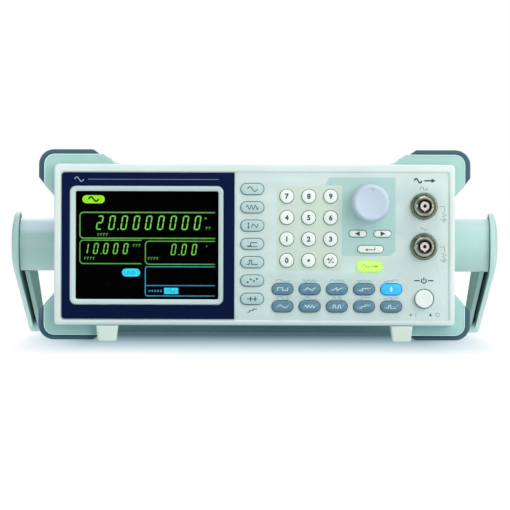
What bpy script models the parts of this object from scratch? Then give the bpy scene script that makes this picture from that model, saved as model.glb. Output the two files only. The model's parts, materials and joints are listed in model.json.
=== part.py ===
"""Bench function generator: case, panel controls, carrying handle and what it holds inside.

The origin is on the floor, midway across and midway front to back. The panel faces -Y, +X is
to its right and +Z is up. Sizes below are in millimetres, and the helpers scale them to metres.
Places on the front panel are (x, z) from the middle of the case.
"""

import cmath
import math

import bmesh
import bpy
from mathutils import Matrix, Vector

MM = 0.001
GAP = 0.3  # clearance between neighbouring pieces

# Case
CASE_WIDTH, CASE_HEIGHT = 266.0, 107.0
CASE_MIDDLE = 64.3  # height of the case's middle above the floor
BEZEL_FRONT = -131.5
PANEL_FRONT = BEZEL_FRONT + 1.2  # the panel lies a little behind the bezel's frame
PANEL_BACK = PANEL_FRONT + 3.0
BEZEL_BACK = BEZEL_FRONT + 9.7
BEZEL_CORNER = 3.0
FRAME_INSIDE = (-128.4, 129.0, -50.0, 48.1)  # left, right, bottom, top
COVER_WIDTH, COVER_HEIGHT = 261.0, 102.0
COVER_WALL = 1.6
COVER_CORNER = 4.0
COVER_FRONT = BEZEL_BACK + GAP
COVER_BACK = 124.7
COVER_SPLIT = 24.0  # height of the joint between the covers above the middle
REAR_PANEL_THICKNESS = 2.0
REAR_PANEL_FRONT = COVER_BACK + GAP
REAR_PANEL_BACK = REAR_PANEL_FRONT + REAR_PANEL_THICKNESS

# Display
RIM_OUTSIDE = (-122.5, -20.8, -39.8, 38.7)
RIM_INSIDE = (-118.8, -23.9, -36.4, 35.5)
RIM_CORNER, SCREEN_CORNER = 4.0, 1.3
RIM_FRONT = BEZEL_FRONT - 0.5
RIM_OVERLAP = 1.5  # how far the rim and the panel run into each other
SURROUND = (-128.0, -13.3, -49.4, 47.8)
SURROUND_FRONT = PANEL_FRONT - 0.9
WINDOW_MARGIN, WINDOW_THICKNESS = 2.2, 1.5
LCD_MARGIN, LCD_THICKNESS = 3.2, 9.0

# Keys: each cap stands through a hole in the panel and has a flange behind it
KEY_PROUD, KEY_CHAMFER = 2.0, 0.6
KEY_CLEARANCE = 0.35
FLANGE_REACH, FLANGE_THICKNESS = 0.8, 1.2
MENU_NAMES = ("waveform", "frequency", "amplitude", "offset", "duty", "point", "value")
MENU_X, MENU_TOP, MENU_PITCH = -1.5, 37.0, 12.15
MENU_SIZE = (15.2, 7.2)
NUMBER_NAMES = ("7", "8", "9", "4", "5", "6", "1", "2", "3", "0", "point", "sign")
NUMBER_LEFT, NUMBER_TOP, NUMBER_PITCH_X, NUMBER_PITCH_Z = 21.4, 32.3, 14.55, 14.2
NUMBER_DIAMETER = 9.2
ARROW_X, ARROW_Z, ARROW_SIZE = (68.5, 84.9), 7.6, (12.3, 5.3)
ENTER_AT, ENTER_SIZE = (76.9, -2.7), (18.0, 5.8)
OUTPUT_AT, OUTPUT_SIZE = (76.4, -14.1), (17.0, 7.0)
FUNCTION_LEFT, FUNCTION_PITCH, FUNCTION_COLUMNS = 18.7, 18.03, 5
FUNCTION_ROWS, FUNCTION_SIZE = (-29.3, -40.8), (13.9, 7.3)
KEY_BOARD = (-10.0, 101.0, -48.0, 46.0)
KEY_BOARD_FRONT, BOARD_THICKNESS = -124.2, 1.6

# Power button and its switch
POWER_AT, POWER_DIAMETER, POWER_HOLE = (112.5, -35.5), 12.0, 13.2
POWER_PROUD, POWER_FLANGE = 4.0, 1.6
POWER_STEM_RADIUS, POWER_STEM_END = 2.5, -120.3
SWITCH_SIDE, SWITCH_FRONT, SWITCH_BACK = 12.0, -116.0, -86.0

# Tuning knob and its encoder: heights are measured forward from the panel
KNOB_AT, KNOB_RADIUS, KNOB_HEIGHT = (77.0, 27.9), 12.8, 16.2
SHAFT_RADIUS, SHAFT_HEIGHT, BUSHING_RADIUS = 3.0, 12.0, 3.6
KNOB_FACE_INSET, KNOB_EDGE_INSET, KNOB_EDGE_HEIGHT, KNOB_SKIRT = 1.9, 0.7, 1.0, 1.6
ENCODER_RADIUS, ENCODER_DEPTH = 7.0, 6.8

# Coaxial connectors
SOCKETS_AT = {"sync_connector": (112.5, 25.9), "main_connector": (112.5, -0.9)}
REAR_SOCKET_AT = (60.0, 12.0)
SOCKET_RING, SOCKET_BARREL, SOCKET_BORE, SOCKET_CORE = 8.95, 4.9, 4.1, 3.15
SOCKET_LENGTH, SOCKET_THREAD, SOCKET_BODY = 13.0, 6.0, 7.5
SOCKET_RING_HEIGHT, SOCKET_FLOOR, SOCKET_CORE_RECESS, SOCKET_BODY_LENGTH = 2.3, 4.0, 2.0, 10.0
LUG_RADIUS, LUG_REACH, LUG_HEIGHT = 1.0, 5.8, 9.0

# Corner protectors: outline points of one corner, as distances from the case's middle
BAND_X, BAND_Z = 132.7, 53.2
LOBE_X, LOBE_Z, LOBE_CORNER = 140.0, 60.4, 7.0
LOBE_SIDE_END, LOBE_SIDE_FOOT = 40.0, 31.3
LOBE_TOP_END, LOBE_TOP_FOOT = 101.0, 91.0
RUBBER_SIDE_END, RUBBER_TOP_END = 44.8, 107.8
RUBBER_END_SLANT = 4.2
FRONT_RUBBER_THICKNESS, REAR_RUBBER_THICKNESS = 3.1, 3.9
PROTECTOR_LENGTH, RUBBER_PLATE, RUBBER_SETBACK = 25.4, 2.3, 3.0
FRONT_PROTECTOR_START = COVER_FRONT
REAR_PROTECTOR_END = 146.5

# Feet
FOOT_X, FOOT_TOP_WIDTH, FOOT_BOTTOM_WIDTH = 97.8, 14.7, 12.5
FOOT_DEPTH_TOP, FOOT_DEPTH_BOTTOM, FOOT_Y = 8.4, 7.0, -126.4
FOOT_HEIGHT = CASE_MIDDLE - CASE_HEIGHT / 2 - GAP

# Handle: the arms turn on the hubs, and at rest they slope back under the case
PIVOT_Y = -61.5
HUB_RADIUS, HUB_END = 18.0, 159.7
SPIGOT_RADIUS, SPIGOT_LENGTH = 6.0, 3.4
ARM_PLATE_RADIUS = 22.0
ARM_DOME = ((0.0, 162.6), (2.2, 164.8), (5.5, 166.2))  # inset from the plate's outline, distance out
ARM_INSIDE, ARM_INNER_WALL, ARM_WEB = 154.0, 3.0, 3.2
ARM_TIP_RADIUS, ARM_TIP_Y, ARM_TIP_Z = 9.2, 85.0, 10.1
POCKET_REACH = 40.0  # how far the hollow's cutter runs below the arm
ARM = complex(ARM_TIP_Y - PIVOT_Y, ARM_TIP_Z - CASE_MIDDLE)  # from the pivot to the tip, as (y, z)
GRIP_THICKNESS, GRIP_WIDTH = 9.0, 24.0
GRIP_CORNER = 3.0
PAST_MIDDLE = 4.0  # how far the modelled half of the grip crosses the plane that mirrors it
JOINED = 1.0  # how far joined shapes run into each other

# Inside and at the back
MAIN_BOARD = (-45.0, 122.0, -80.0, 95.0)
MAIN_BOARD_HEIGHT = 26.3
POST_RADIUS, POST_INSET = 3.5, 8.0
TRANSFORMER = (-112.0, -56.0, 42.0, 98.0)
TRANSFORMER_HEIGHT = 44.0
INLET_AT, INLET_SIZE, INLET_FLANGE = (-92.0, -12.0), (27.0, 19.6), (31.0, 23.6)
INLET_FRONT, INLET_POCKET = 104.0, 14.0
VENT_LENGTH, VENT_WIDTH, VENT_PITCH = 24.0, 2.4, 7.0
SIDE_VENTS, SIDE_VENT_Y, SIDE_VENT_Z = 9, 30.0, -14.0
REAR_VENTS, REAR_VENT_X, REAR_VENT_Z = 8, -10.0, 14.0

ARC = 4  # segments in a rounded corner
ROUND = 24  # sides of a turned piece

# Frames that stand a flat outline up: its third axis points forward, or out to the right
FORWARD = Matrix(((1, 0, 0, 0), (0, 0, -1, 0), (0, 1, 0, 0), (0, 0, 0, 1)))
RIGHT = Matrix(((0, 0, 1, 0), (1, 0, 0, 0), (0, 1, 0, 0), (0, 0, 0, 1)))
FLAT = Matrix.Identity(4)


def clear_scene():
    """Removes every object, and makes the collections for the parts and for the cutters."""
    for obj in list(bpy.data.objects):
        bpy.data.objects.remove(obj)
    found = []
    for name in ("function_generator", "cutters"):
        collection = bpy.data.collections.new(name)
        bpy.context.scene.collection.children.link(collection)
        found.append(collection)
    return found


PARTS, CUTTERS = clear_scene()


def make_material(name, colour, roughness, metallic=0.0, alpha=1.0):
    """A Principled material."""
    material = bpy.data.materials.new(name)
    material.use_nodes = True
    shader = material.node_tree.nodes["Principled BSDF"]
    shader.inputs["Base Color"].default_value = (*colour, 1.0)
    shader.inputs["Roughness"].default_value = roughness
    shader.inputs["Metallic"].default_value = metallic
    shader.inputs["Alpha"].default_value = alpha
    return material


MATERIALS = {
    "panel": make_material("panel", (0.72, 0.83, 0.79), 0.45),
    "surround": make_material("surround", (0.004, 0.012, 0.04), 0.35),
    "window": make_material("window", (0.01, 0.01, 0.01), 0.08, alpha=0.4),
    "lcd": make_material("lcd", (0.01, 0.02, 0.01), 0.4),
    "key_mint": make_material("key_mint", (0.45, 0.61, 0.62), 0.5),
    "key_white": make_material("key_white", (0.8, 0.9, 0.86), 0.5),
    "key_blue": make_material("key_blue", (0.11, 0.25, 0.33), 0.5),
    "key_bright": make_material("key_bright", (0.04, 0.45, 0.87), 0.45),
    "key_lit": make_material("key_lit", (0.65, 0.95, 0.17), 0.4),
    "knob": make_material("knob", (0.48, 0.62, 0.7), 0.55),
    "nickel": make_material("nickel", (0.45, 0.45, 0.42), 0.3, metallic=1.0),
    "protector": make_material("protector", (0.36, 0.58, 0.54), 0.6),
    "rubber": make_material("rubber", (0.04, 0.09, 0.15), 0.7),
    "handle": make_material("handle", (0.43, 0.65, 0.61), 0.5),
    "cover": make_material("cover", (0.7, 0.78, 0.75), 0.45),
    "foot": make_material("foot", (0.65, 0.8, 0.72), 0.6),
    "steel": make_material("steel", (0.6, 0.62, 0.62), 0.4, metallic=1.0),
    "board": make_material("board", (0.02, 0.16, 0.06), 0.5),
    "black_plastic": make_material("black_plastic", (0.02, 0.02, 0.02), 0.5),
}


def rounded(corners, steps=ARC):
    """A closed outline through the corners (x, y, radius), each rounded by an arc."""
    points = []
    for i, (x, y, radius) in enumerate(corners):
        if radius <= 0:
            points.append((x, y))
            continue
        here = complex(x, y)
        before = complex(*corners[i - 1][:2]) - here
        after = complex(*corners[(i + 1) % len(corners)][:2]) - here
        before /= abs(before)
        after /= abs(after)
        half = abs(cmath.phase(after / before)) / 2
        middle = (before + after) / abs(before + after)
        centre = here + middle * radius / math.sin(half)
        start = here + before * radius / math.tan(half) - centre
        turn = cmath.phase((here + after * radius / math.tan(half) - centre) / start)
        for k in range(steps + 1):
            point = centre + start * cmath.exp(1j * turn * k / steps)
            points.append((point.real, point.imag))
    return points


def box_outline(left, right, bottom, top, radius=0.0, grow=0.0):
    """A rectangle with rounded corners, grown on every side."""
    left, right, bottom, top = left - grow, right + grow, bottom - grow, top + grow
    corner = radius + grow if radius > 0 else 0.0
    return rounded(
        [(right, top, corner), (left, top, corner), (left, bottom, corner), (right, bottom, corner)]
    )


def stadium(size, grow=0.0, centre=(0.0, 0.0)):
    """A pill shape, or a circle where its width and height are the same."""
    width, height = size[0] + 2 * grow, size[1] + 2 * grow
    points = []
    for side in (1, -1):
        for k in range(ARC + 1):
            angle = math.pi * (k / ARC - 0.5)
            x = side * ((width - height) / 2 + height / 2 * math.cos(angle))
            z = side * height / 2 * math.sin(angle)
            points.append((centre[0] + x, centre[1] + z))
    return points


def circle(radius, centre=(0.0, 0.0), sides=ROUND):
    """A regular outline of that many sides."""
    turns = [math.tau * k / sides for k in range(sides)]
    return [(centre[0] + radius * math.cos(a), centre[1] + radius * math.sin(a)) for a in turns]


def as_object(name, mesh, collection, material=None, at=(0.0, 0.0, 0.0)):
    """Links a mesh as an object at a place in millimetres, shaded smooth but for its edges."""
    obj = bpy.data.objects.new(name, mesh)
    collection.objects.link(obj)
    obj.location = Vector(at) * MM
    if material:
        mesh.materials.append(MATERIALS[material])
        mesh.shade_smooth()
        mesh.set_sharp_from_angle(angle=math.radians(35))
    if collection is CUTTERS:
        obj.hide_render = True
        obj.display_type = "WIRE"
    return obj


def drop_repeats(outline):
    """The outline without points that sit on the one before them."""
    kept = []
    for point in outline:
        if math.dist(point, kept[-1] if kept else outline[-1]) > 1e-4:
            kept.append(point)
    return kept


def loft(name, sections, material=None, frame=FORWARD, at=(0.0, 0.0, 0.0), collection=PARTS):
    """A solid skinned over outlines with equal point counts, each (outline, distance)."""
    shape = bmesh.new()
    rings = []
    for outline, distance in sections:
        points = drop_repeats(outline)
        rings.append([shape.verts.new((x * MM, y * MM, distance * MM)) for x, y in points])
    for low, high in zip(rings, rings[1:]):
        for k in range(len(low)):
            shape.faces.new((low[k - 1], low[k], high[k], high[k - 1]))
    shape.faces.new(rings[0])
    shape.faces.new(rings[-1])
    bmesh.ops.recalc_face_normals(shape, faces=shape.faces)
    shape.transform(frame)
    mesh = bpy.data.meshes.new(name)
    shape.to_mesh(mesh)
    shape.free()
    return as_object(name, mesh, collection, material, at)


def sheet(name, outlines, near, far, material=None, frame=FORWARD, at=(0.0, 0.0, 0.0),
          collection=PARTS):
    """A flat plate between two distances. The first outline is its edge, the rest are holes."""
    curve = bpy.data.curves.new(name, "CURVE")
    curve.dimensions = "2D"
    curve.fill_mode = "BOTH"
    curve.extrude = abs(far - near) / 2 * MM
    for outline in outlines:
        points = drop_repeats(outline)
        spline = curve.splines.new("POLY")
        spline.points.add(len(points) - 1)
        for point, (x, y) in zip(spline.points, points):
            point.co = (x * MM, y * MM, 0.0, 1.0)
        spline.use_cyclic_u = True
    guide = bpy.data.objects.new(name + "_outline", curve)
    CUTTERS.objects.link(guide)
    graph = bpy.context.evaluated_depsgraph_get()
    mesh = bpy.data.meshes.new_from_object(guide.evaluated_get(graph))
    bpy.data.objects.remove(guide)
    shape = bmesh.new()
    shape.from_mesh(mesh)
    bmesh.ops.remove_doubles(shape, verts=shape.verts, dist=1e-6)
    caps = [face for face in shape.faces if len({round(v.co.z / MM, 2) for v in face.verts}) == 1]
    inner = [edge for edge in shape.edges if all(face in caps for face in edge.link_faces)]
    bmesh.ops.beautify_fill(shape, faces=caps, edges=inner)
    bmesh.ops.recalc_face_normals(shape, faces=shape.faces)
    shape.transform(frame @ Matrix.Translation((0.0, 0.0, (near + far) / 2 * MM)))
    shape.to_mesh(mesh)
    shape.free()
    mesh.name = name
    return as_object(name, mesh, collection, material, at)


def turned(name, profile, material, at, sides=ROUND):
    """A solid turned about its forward axis from (radius, height), front first."""
    mesh = bpy.data.meshes.new(name)
    points = [(radius * MM, 0.0, height * MM) for radius, height in profile]
    mesh.from_pydata(points, [(k, k + 1) for k in range(len(points) - 1)], [])
    obj = as_object(name, mesh, PARTS, material, at)
    obj.rotation_euler.x = math.pi / 2
    screw = obj.modifiers.new("turn", "SCREW")
    screw.steps = sides
    screw.render_steps = sides
    screw.use_merge_vertices = True
    screw.merge_threshold = 1e-5
    return obj


def combine(obj, other, operation):
    """Adds a Boolean. The other object becomes a hidden helper."""
    modifier = obj.modifiers.new(operation.lower(), "BOOLEAN")
    modifier.operation = operation
    modifier.object = other
    return obj


def block(name, left, right, front, back, bottom, top, material=None, radius=0.0,
          collection=PARTS):
    """A box given by its six sides, its upright edges rounded."""
    outline = box_outline(left, right, front, back, radius)
    return loft(name, [(outline, bottom), (outline, top)], material, FLAT, collection=collection)


def on_panel(place, depth=PANEL_FRONT):
    """A place on the front panel as world coordinates."""
    return (place[0], depth, CASE_MIDDLE + place[1])


def key_places():
    """Every key as name: (place, size, material)."""
    keys = {}
    for row, name in enumerate(MENU_NAMES):
        keys[name + "_key"] = ((MENU_X, MENU_TOP - row * MENU_PITCH), MENU_SIZE, "key_mint")
    for index, name in enumerate(NUMBER_NAMES):
        row, column = divmod(index, 3)
        place = (NUMBER_LEFT + column * NUMBER_PITCH_X, NUMBER_TOP - row * NUMBER_PITCH_Z)
        keys["number_key_" + name] = (place, (NUMBER_DIAMETER, NUMBER_DIAMETER), "key_white")
    for name, x in zip(("left_arrow_key", "right_arrow_key"), ARROW_X):
        keys[name] = ((x, ARROW_Z), ARROW_SIZE, "key_white")
    keys["enter_key"] = (ENTER_AT, ENTER_SIZE, "key_white")
    keys["output_key"] = (OUTPUT_AT, OUTPUT_SIZE, "key_lit")
    for row, z in enumerate(FUNCTION_ROWS):
        for column in range(FUNCTION_COLUMNS):
            number = row * FUNCTION_COLUMNS + column + 1
            last_of_first_row = number == FUNCTION_COLUMNS
            material = "key_bright" if last_of_first_row else "key_blue"
            place = (FUNCTION_LEFT + column * FUNCTION_PITCH, z)
            keys[f"function_key_{number}"] = (place, FUNCTION_SIZE, material)
    return keys


def make_keys():
    """Each key: a chamfered cap, and a flange that stays behind the panel."""
    cap_back = PANEL_FRONT - PANEL_BACK - GAP
    for name, (place, size, material) in key_places().items():
        cap, face = stadium(size), stadium(size, -KEY_CHAMFER)
        flange = stadium(size, FLANGE_REACH)
        sections = [
            (face, KEY_PROUD),
            (cap, KEY_PROUD - KEY_CHAMFER),
            (cap, cap_back),
            (flange, cap_back),
            (flange, cap_back - FLANGE_THICKNESS),
        ]
        loft(name, sections, material, at=on_panel(place))


def make_power_button():
    """The round push button, with the stem that reaches its switch."""
    cap_back = PANEL_FRONT - PANEL_BACK - GAP
    radius = POWER_DIAMETER / 2
    profile = [
        (0.0, POWER_PROUD),
        (radius - KEY_CHAMFER, POWER_PROUD),
        (radius, POWER_PROUD - KEY_CHAMFER),
        (radius, cap_back),
        (radius + POWER_FLANGE, cap_back),
        (radius + POWER_FLANGE, cap_back - FLANGE_THICKNESS),
        (POWER_STEM_RADIUS, cap_back - FLANGE_THICKNESS),
        (POWER_STEM_RADIUS, PANEL_FRONT - POWER_STEM_END),
        (0.0, PANEL_FRONT - POWER_STEM_END),
    ]
    turned("power_button", profile, "key_white", on_panel(POWER_AT))
    x, z = POWER_AT[0], CASE_MIDDLE + POWER_AT[1]
    half = SWITCH_SIDE / 2
    sides = (x - half, x + half, SWITCH_FRONT, SWITCH_BACK, z - half, z + half)
    block("power_switch", *sides, "black_plastic", radius=1.0)


def make_bezel():
    """The front moulding: frame, pierced panel and the raised rim round the screen."""
    half_width, half_height = CASE_WIDTH / 2, CASE_HEIGHT / 2
    outside = (-half_width, half_width, -half_height, half_height)
    forward = {"frame": FORWARD, "at": (0.0, 0.0, CASE_MIDDLE)}
    bezel = sheet(
        "front_bezel",
        [box_outline(*outside, BEZEL_CORNER), box_outline(*FRAME_INSIDE, 1.5)],
        -BEZEL_FRONT, -BEZEL_BACK, "panel", **forward,
    )
    holes = [stadium(size, KEY_CLEARANCE, place) for place, size, _ in key_places().values()]
    holes.append(circle(POWER_HOLE / 2, POWER_AT))
    holes.append(circle(BUSHING_RADIUS + KEY_CLEARANCE, KNOB_AT, 16))
    holes += [circle(SOCKET_THREAD + KEY_CLEARANCE, at, 16) for at in SOCKETS_AT.values()]
    holes.append(box_outline(*RIM_INSIDE, SCREEN_CORNER, grow=RIM_OVERLAP))
    panel = sheet(
        "bezel_panel", [box_outline(*FRAME_INSIDE, 1.5, grow=2.0), *holes],
        -PANEL_FRONT, -PANEL_BACK, collection=CUTTERS, **forward,
    )
    rim = sheet(
        "bezel_rim",
        [box_outline(*RIM_OUTSIDE, RIM_CORNER), box_outline(*RIM_INSIDE, SCREEN_CORNER)],
        -RIM_FRONT, -PANEL_BACK + RIM_OVERLAP / 2, collection=CUTTERS, **forward,
    )
    combine(bezel, panel, "UNION")
    combine(bezel, rim, "UNION")


def make_display():
    """The dark surround, the clear window behind the panel, and the display module."""
    sheet(
        "display_surround",
        [box_outline(*SURROUND, 2.0), box_outline(*RIM_OUTSIDE, RIM_CORNER, grow=GAP)],
        -SURROUND_FRONT, -PANEL_FRONT + GAP, "surround", at=(0.0, 0.0, CASE_MIDDLE),
    )
    back = PANEL_BACK
    for name, margin, thickness, material in (
        ("display_window", WINDOW_MARGIN, WINDOW_THICKNESS, "window"),
        ("lcd_module", LCD_MARGIN, LCD_THICKNESS, "lcd"),
    ):
        front = back + GAP
        back = front + thickness
        outline = box_outline(*RIM_INSIDE, grow=margin)
        loft(name, [(outline, -back), (outline, -front)], material, at=(0.0, 0.0, CASE_MIDDLE))


def make_knob():
    """The tuning knob, and the encoder whose shaft it fits over."""
    knob = [
        (0.0, KNOB_HEIGHT),
        (KNOB_RADIUS - KNOB_FACE_INSET, KNOB_HEIGHT),
        (KNOB_RADIUS - KNOB_EDGE_INSET, KNOB_HEIGHT - KNOB_EDGE_HEIGHT),
        (KNOB_RADIUS, KNOB_SKIRT),
        (KNOB_RADIUS, GAP),
        (SHAFT_RADIUS + GAP, GAP),
        (SHAFT_RADIUS + GAP, SHAFT_HEIGHT + GAP),
        (0.0, SHAFT_HEIGHT + GAP),
    ]
    turned("tuning_knob", knob, "knob", on_panel(KNOB_AT), sides=32)
    body = PANEL_FRONT - (KEY_BOARD_FRONT + BOARD_THICKNESS + GAP)
    encoder = [
        (0.0, SHAFT_HEIGHT),
        (SHAFT_RADIUS, SHAFT_HEIGHT),
        (SHAFT_RADIUS, 0.0),
        (BUSHING_RADIUS, 0.0),
        (BUSHING_RADIUS, body),
        (ENCODER_RADIUS, body),
        (ENCODER_RADIUS, body - ENCODER_DEPTH),
        (0.0, body - ENCODER_DEPTH),
    ]
    turned("rotary_encoder", encoder, "steel", on_panel(KNOB_AT), sides=16)


def make_socket(name, at, panel_thickness, facing_back=False):
    """A bayonet coaxial socket: ring, barrel with two lugs, insulated core, rear body."""
    behind = -panel_thickness - GAP
    profile = [
        (0.0, SOCKET_LENGTH - SOCKET_CORE_RECESS),
        (SOCKET_CORE, SOCKET_LENGTH - SOCKET_CORE_RECESS),
        (SOCKET_CORE, SOCKET_FLOOR),
        (SOCKET_BORE, SOCKET_FLOOR),
        (SOCKET_BORE, SOCKET_LENGTH),
        (SOCKET_BARREL, SOCKET_LENGTH),
        (SOCKET_BARREL, SOCKET_RING_HEIGHT),
        (SOCKET_RING, SOCKET_RING_HEIGHT),
        (SOCKET_RING, GAP),
        (SOCKET_THREAD, GAP),
        (SOCKET_THREAD, behind),
        (SOCKET_BODY, behind),
        (SOCKET_BODY, behind - SOCKET_BODY_LENGTH),
        (0.0, behind - SOCKET_BODY_LENGTH),
    ]
    socket = turned(name, profile, "nickel", at, sides=20)
    lugs = loft(
        name + "_lugs",
        [(circle(LUG_RADIUS, sides=8), reach) for reach in (-LUG_REACH, LUG_REACH)],
        frame=RIGHT, at=at, collection=CUTTERS,
    )
    lugs.location.y += (1 if facing_back else -1) * LUG_HEIGHT * MM
    bore = loft(
        name + "_bore",
        [(circle((SOCKET_BORE + SOCKET_BARREL) / 2, sides=16), reach)
         for reach in (-1.5 * LUG_RADIUS, 1.5 * LUG_RADIUS)],
        frame=FORWARD, at=at, collection=CUTTERS,
    )
    bore.location = lugs.location
    combine(lugs, bore, "DIFFERENCE")
    combine(socket, lugs, "UNION")
    if facing_back:
        socket.rotation_euler = (math.pi / 2, 0.0, math.pi)


def make_covers():
    """The deep lower cover and the shallower upper one, as folded sheets."""
    half, height = COVER_WIDTH / 2, COVER_HEIGHT / 2
    inner, inner_height = half - COVER_WALL, height - COVER_WALL
    inner_corner = COVER_CORNER - COVER_WALL
    at = (0.0, 0.0, CASE_MIDDLE)
    for name, sign, edge in (("top_cover", 1, COVER_SPLIT + GAP), ("bottom_cover", -1, -COVER_SPLIT)):
        corners = [
            (half, edge, 0.0),
            (half, height, COVER_CORNER),
            (-half, height, COVER_CORNER),
            (-half, edge, 0.0),
            (-inner, edge, 0.0),
            (-inner, inner_height, inner_corner),
            (inner, inner_height, inner_corner),
            (inner, edge, 0.0),
        ]
        outline = [(x, sign * z) for x, z in rounded(corners)]
        loft(name, [(outline, -COVER_BACK), (outline, -COVER_FRONT)], "cover", at=at)
    bottom = bpy.data.objects["bottom_cover"]
    combine(bottom, side_vent_cutter(), "DIFFERENCE")
    floor = CASE_MIDDLE - COVER_HEIGHT / 2 + COVER_WALL
    for name, x, y in board_corners():
        outline = circle(POST_RADIUS, (x, y), 8)
        sections = [(outline, floor - COVER_WALL / 2), (outline, MAIN_BOARD_HEIGHT - GAP)]
        combine(bottom, loft(name, sections, frame=FLAT, collection=CUTTERS), "UNION")


def board_corners():
    """The posts under the main board, as (name, x, y)."""
    left, right, front, back = MAIN_BOARD
    for x in (left + POST_INSET, right - POST_INSET):
        for y in (front + POST_INSET, back - POST_INSET):
            yield f"post_{x:.0f}_{y:.0f}", x, y


def side_vent_cutter():
    """Slots through both side walls of the lower cover, behind the hubs."""
    reach = COVER_WIDTH / 2 + 5.0
    shape = bmesh.new()
    for k in range(SIDE_VENTS):
        centre = (0.0, SIDE_VENT_Y + k * VENT_PITCH, CASE_MIDDLE + SIDE_VENT_Z)
        size = Matrix.Diagonal((2 * reach * MM, VENT_WIDTH * MM, VENT_LENGTH * MM, 1.0))
        place = Matrix.Translation(Vector(centre) * MM) @ size
        bmesh.ops.create_cube(shape, size=1.0, matrix=place)
    mesh = bpy.data.meshes.new("side_vents")
    shape.to_mesh(mesh)
    shape.free()
    return as_object("side_vents", mesh, CUTTERS)


def make_rear():
    """The pierced rear panel, the mains inlet and the rear connector."""
    half, height = COVER_WIDTH / 2, COVER_HEIGHT / 2
    inlet = [INLET_AT[0] - INLET_SIZE[0] / 2, INLET_AT[0] + INLET_SIZE[0] / 2,
             INLET_AT[1] - INLET_SIZE[1] / 2, INLET_AT[1] + INLET_SIZE[1] / 2]
    holes = [box_outline(*inlet, grow=GAP), circle(SOCKET_THREAD + KEY_CLEARANCE, REAR_SOCKET_AT, 16)]
    for k in range(REAR_VENTS):
        x = REAR_VENT_X + (k - (REAR_VENTS - 1) / 2) * VENT_PITCH
        half_slot = VENT_WIDTH / 2
        low, high = REAR_VENT_Z - VENT_LENGTH / 2, REAR_VENT_Z + VENT_LENGTH / 2
        holes.append(box_outline(x - half_slot, x + half_slot, low, high))
    at = (0.0, 0.0, CASE_MIDDLE)
    edge = box_outline(-half, half, -height, height, COVER_CORNER)
    sheet("rear_panel", [edge, *holes], -REAR_PANEL_FRONT, -REAR_PANEL_BACK, "cover", at=at)
    flange = [INLET_AT[0] - INLET_FLANGE[0] / 2, INLET_AT[0] + INLET_FLANGE[0] / 2,
              INLET_AT[1] - INLET_FLANGE[1] / 2, INLET_AT[1] + INLET_FLANGE[1] / 2]
    outside = REAR_PANEL_BACK + GAP
    sections = [
        (box_outline(*flange, 1.0), -outside - 2.0),
        (box_outline(*flange, 1.0), -outside),
        (box_outline(*inlet, 1.0), -outside),
        (box_outline(*inlet, 1.0), -INLET_FRONT),
    ]
    body = loft("mains_inlet", sections, "black_plastic", at=at)
    pocket = box_outline(*inlet, 2.5, grow=-1.5)
    sections = [(pocket, -outside - 5.0), (pocket, -outside + INLET_POCKET)]
    combine(body, loft("inlet_pocket", sections, at=at, collection=CUTTERS), "DIFFERENCE")
    place = (REAR_SOCKET_AT[0], REAR_PANEL_BACK, CASE_MIDDLE + REAR_SOCKET_AT[1])
    make_socket("rear_connector", place, REAR_PANEL_THICKNESS, facing_back=True)


def mirrored_outline(quarter):
    """A closed outline from the corners of its upper right quarter, listed side to top."""
    corners = list(quarter)
    corners += [(-x, z, r) for x, z, r in reversed(quarter)]
    corners += [(-x, -z, r) for x, z, r in quarter]
    corners += [(x, -z, r) for x, z, r in reversed(quarter)]
    return rounded(corners)


def protector_outline(grow=0.0):
    """The protector seen from the front: a thin band with a lobe at each corner."""
    return mirrored_outline([
        (BAND_X + grow, LOBE_SIDE_FOOT, 0.0),
        (LOBE_X + grow, LOBE_SIDE_END, 0.0),
        (LOBE_X + grow, LOBE_Z + grow, LOBE_CORNER + grow),
        (LOBE_TOP_END, LOBE_Z + grow, 0.0),
        (LOBE_TOP_FOOT, BAND_Z + grow, 0.0),
    ])


def rubber_outline(thickness):
    """The protector's outline with the rubber that wraps each of its corners."""
    x, z = LOBE_X + thickness, LOBE_Z + thickness
    return mirrored_outline([
        (BAND_X, LOBE_SIDE_FOOT, 0.0),
        (LOBE_X, LOBE_SIDE_END, 0.0),
        (x, RUBBER_SIDE_END, 0.0),
        (x, z, LOBE_CORNER + thickness),
        (RUBBER_TOP_END, z, 0.0),
        (RUBBER_TOP_END - RUBBER_END_SLANT, LOBE_Z, 0.0),
        (LOBE_TOP_END, LOBE_Z, 0.0),
        (LOBE_TOP_FOOT, BAND_Z, 0.0),
    ])


def make_protectors():
    """Front and rear protectors, each with a rubber edge. The rubber's plate faces inwards
    along the case at the front, and it is the hindmost face at the rear."""
    opening = box_outline(
        -COVER_WIDTH / 2, COVER_WIDTH / 2, -COVER_HEIGHT / 2, COVER_HEIGHT / 2, COVER_CORNER, grow=GAP
    )
    rear_start = REAR_PROTECTOR_END - RUBBER_PLATE - GAP - PROTECTOR_LENGTH
    at = (0.0, 0.0, CASE_MIDDLE)
    for side, start, thickness in (
        ("front", FRONT_PROTECTOR_START, FRONT_RUBBER_THICKNESS),
        ("rear", rear_start, REAR_RUBBER_THICKNESS),
    ):
        end = start + PROTECTOR_LENGTH
        sheet(f"{side}_protector", [protector_outline(), opening], -start, -end, "protector", at=at)
        rubber = sheet(
            f"{side}_rubber_edge", [rubber_outline(thickness), opening],
            -start - RUBBER_SETBACK, -end - GAP - RUBBER_PLATE, "rubber", at=at,
        )
        core = sheet(
            f"{side}_rubber_core", [protector_outline(GAP)],
            -start + PROTECTOR_LENGTH, -end - GAP, at=at, collection=CUTTERS,
        )
        combine(rubber, core, "DIFFERENCE")


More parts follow.
